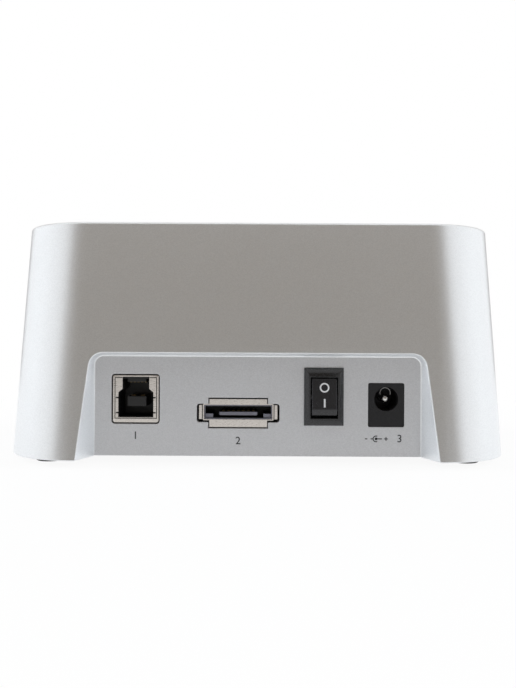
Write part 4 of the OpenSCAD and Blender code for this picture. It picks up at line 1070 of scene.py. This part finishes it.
polarityLook = {"name": "polaritySign", "finish": markInk, "x": 2.5, "z": 6.5, "line": 0.26, "cup": 0.85,
                "cupOpen": 0.2975, "dot": 0.36, "reach": 1.5, "ends": 2.5, "minus": 0.63, "plus": 0.9}


def makePolarity(look):
    low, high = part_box("jack_pin")
    bm = bmesh.new()
    inkRing(bm, 0, 0, look["cup"], look["line"])
    cut = bm.verts[:] + bm.edges[:] + bm.faces[:]
    bmesh.ops.bisect_plane(bm, geom=cut, plane_co=(look["cupOpen"] * mm, 0, 0), plane_no=(1, 0, 0),
                           clear_outer=True)
    bmesh.ops.create_circle(bm, cap_ends=True, segments=dotSides, radius=look["dot"] * mm)
    arm = look["reach"] - look["cup"]
    inkBar(bm, -look["cup"] - arm / 2 + look["line"] / 2, 0, arm, look["line"])
    inkBar(bm, (look["dot"] + look["reach"]) / 2, 0, look["reach"] - look["dot"], look["line"])
    inkBar(bm, -look["ends"], 0, look["minus"], look["line"])
    inkBar(bm, look["ends"], 0, look["plus"], look["line"])
    stub = (look["plus"] - look["line"]) / 2
    for side in (-1, 1):
        inkBar(bm, look["ends"], side * (look["line"] + stub) / 2, look["line"], stub)
    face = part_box("rear_panel")[1].y
    inkPiece(bm, look, wallPlace((low.x + high.x) / 2 + look["x"] * mm, face, look["z"] * mm))


makePolarity(polarityLook)

ejectMarkLook = {"name": "ejectMark", "finish": whiteInk, "width": 2.6, "tall": 1.4, "bar": 0.4, "gap": 0.35}


def makeEjectMark(look):
    low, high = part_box("eject_button")
    half = look["width"] / 2
    foot = look["bar"] + look["gap"]
    bm = bmesh.new()
    corners = ((-half, foot, 0), (half, foot, 0), (0, foot + look["tall"], 0))
    bm.faces.new([bm.verts.new(Vector(at) * mm) for at in corners])
    inkBar(bm, 0, look["bar"] / 2, look["width"], look["bar"])
    lift = (foot + look["tall"]) / 2 * mm
    top = Matrix.Translation(((low.x + high.x) / 2, (low.y + high.y) / 2 - lift, high.z))
    inkPiece(bm, look, top, "eject_button")


makeEjectMark(ejectMarkLook)
print("marks printed")

# Floor, cards and lamps: soft light from both sides, with a grey card before the front and the back

floorLook = {"size": 1.6, "white": 0.86, "glow": 0.93, "near": 0.08, "far": 0.20}
cardLook = {"away": 0.9, "half": 0.86, "low": -0.02, "high": 1.15,
            "bottom": (0.245, 0.222, 0.195), "top": (0.22, 0.18, 0.138), "ramp": (0.15, 0.55)}
skyLook = {"seen": 1.0, "fill": 0.30}
lampLook = {"left": ((0.95, 0.05, 0.22), (0.34, 0.7), 13.0, (0.88, 0.94, 1.0)),
            "right": ((-0.95, 0.05, 0.22), (0.34, 0.7), 13.0, (0.88, 0.94, 1.0)),
            "over": ((0.0, 0.0, 1.1), (1.0, 1.0), 2.6, (1.0, 1.0, 1.0))}
lampAim = Vector((0, 0, 0.03))


def seenRays(tree):
    path = addNode(tree, "LightPath")
    first = addNode(tree, "Math", operation="MAXIMUM")
    second = addNode(tree, "Math", operation="MAXIMUM")
    tree.links.new(path.outputs["Is Camera Ray"], first.inputs[0])
    tree.links.new(path.outputs["Is Glossy Ray"], first.inputs[1])
    tree.links.new(first.outputs["Value"], second.inputs[0])
    tree.links.new(path.outputs["Is Transmission Ray"], second.inputs[1])
    return second.outputs["Value"]


def addSky(look):
    world = bpy.data.worlds.new("sky")
    world.use_nodes = True
    tree = world.node_tree
    plain = addNode(tree, "MapRange", {"To Min": look["fill"], "To Max": look["seen"]})
    tree.links.new(seenRays(tree), plain.inputs["Value"])
    sky = tree.nodes["Background"]
    sky.inputs["Color"].default_value = (1, 1, 1, 1)
    tree.links.new(plain.outputs["Result"], sky.inputs["Strength"])
    scene.world = world


def addStage(name, bm, material):
    mesh = bpy.data.meshes.new(name)
    bm.to_mesh(mesh)
    bm.free()
    mesh.materials.append(material)
    sheet = bpy.data.objects.new(name, mesh)
    scene.collection.objects.link(sheet)
    return sheet


def newGlow(name):
    material = bpy.data.materials.new(name)
    material.use_nodes = True
    tree = material.node_tree
    tree.nodes.remove(tree.nodes["Principled BSDF"])
    glow = addNode(tree, "Emission", {"Color": (1, 1, 1, 1), "Strength": 1.0})
    return material, tree, glow, tree.nodes["Material Output"].inputs["Surface"]


# The floor is white further out, holds a faint shadow close by, and is clear from below
def addFloor(look):
    bm = bmesh.new()
    bmesh.ops.create_grid(bm, x_segments=1, y_segments=1, size=look["size"])
    material, tree, glow, surface = newGlow("paleFloor")
    matt = addNode(tree, "BsdfDiffuse", {"Color": (*[look["white"]] * 3, 1)})
    clear = addNode(tree, "BsdfTransparent")
    side = addNode(tree, "NewGeometry")
    away = addNode(tree, "VectorMath", operation="LENGTH")
    share = addNode(tree, "MapRange", {"From Min": look["near"], "From Max": look["far"],
                                       "To Min": look["glow"], "To Max": 1.0})
    seen = addNode(tree, "Math", operation="MULTIPLY")
    white = addNode(tree, "MixShader")
    sided = addNode(tree, "MixShader")
    tree.links.new(objectPlace(tree), away.inputs[0])
    tree.links.new(away.outputs["Value"], share.inputs["Value"])
    tree.links.new(share.outputs["Result"], seen.inputs[0])
    tree.links.new(seenRays(tree), seen.inputs[1])
    tree.links.new(seen.outputs["Value"], white.inputs["Fac"])
    tree.links.new(matt.outputs["BSDF"], white.inputs[1])
    tree.links.new(glow.outputs["Emission"], white.inputs[2])
    tree.links.new(side.outputs["Backfacing"], sided.inputs["Fac"])
    tree.links.new(white.outputs["Shader"], sided.inputs[1])
    tree.links.new(clear.outputs["BSDF"], sided.inputs[2])
    tree.links.new(sided.outputs["Shader"], surface)
    addStage("floor", bm, material)


def greyCard(look):
    material, tree, glow, surface = newGlow("greyCard")
    parts = addNode(tree, "SeparateXYZ")
    tree.links.new(objectPlace(tree), parts.inputs["Vector"])
    tone = tones(tree, parts.outputs["Z"], look["bottom"], look["top"], *look["ramp"])
    tree.links.new(tone, glow.inputs["Color"])
    tree.links.new(glow.outputs["Emission"], surface)
    return material


def addCard(name, side, look, material):
    bm = bmesh.new()
    bmesh.ops.create_grid(bm, x_segments=1, y_segments=1, size=0.5)
    width = 2 * look["half"]
    height = look["high"] - look["low"]
    place = Matrix.Translation((0, side * look["away"], (look["high"] + look["low"]) / 2))
    place = place @ Matrix.Rotation(math.radians(90), 4, "X") @ Matrix.Diagonal((width, height, 1, 1))
    bmesh.ops.transform(bm, matrix=place, verts=bm.verts)
    card = addStage(name, bm, material)
    card.visible_camera = False
    card.visible_shadow = False


def addLamp(name, place, size, power, tint):
    data = bpy.data.lights.new(name, "AREA")
    data.shape = "RECTANGLE"
    data.size, data.size_y = size
    data.energy = power
    data.color = tint
    lamp = bpy.data.objects.new(name, data)
    lamp.location = place
    lamp.rotation_euler = (lampAim - Vector(place)).to_track_quat("-Z", "Y").to_euler()
    lamp.visible_glossy = False
    scene.collection.objects.link(lamp)


addSky(skyLook)
addFloor(floorLook)
cardGrey = greyCard(cardLook)
addCard("backCard", 1, cardLook, cardGrey)
addCard("frontCard", -1, cardLook, cardGrey)
for name, (place, size, power, tint) in lampLook.items():
    addLamp(name, place, size, power, tint)
print("stage set")
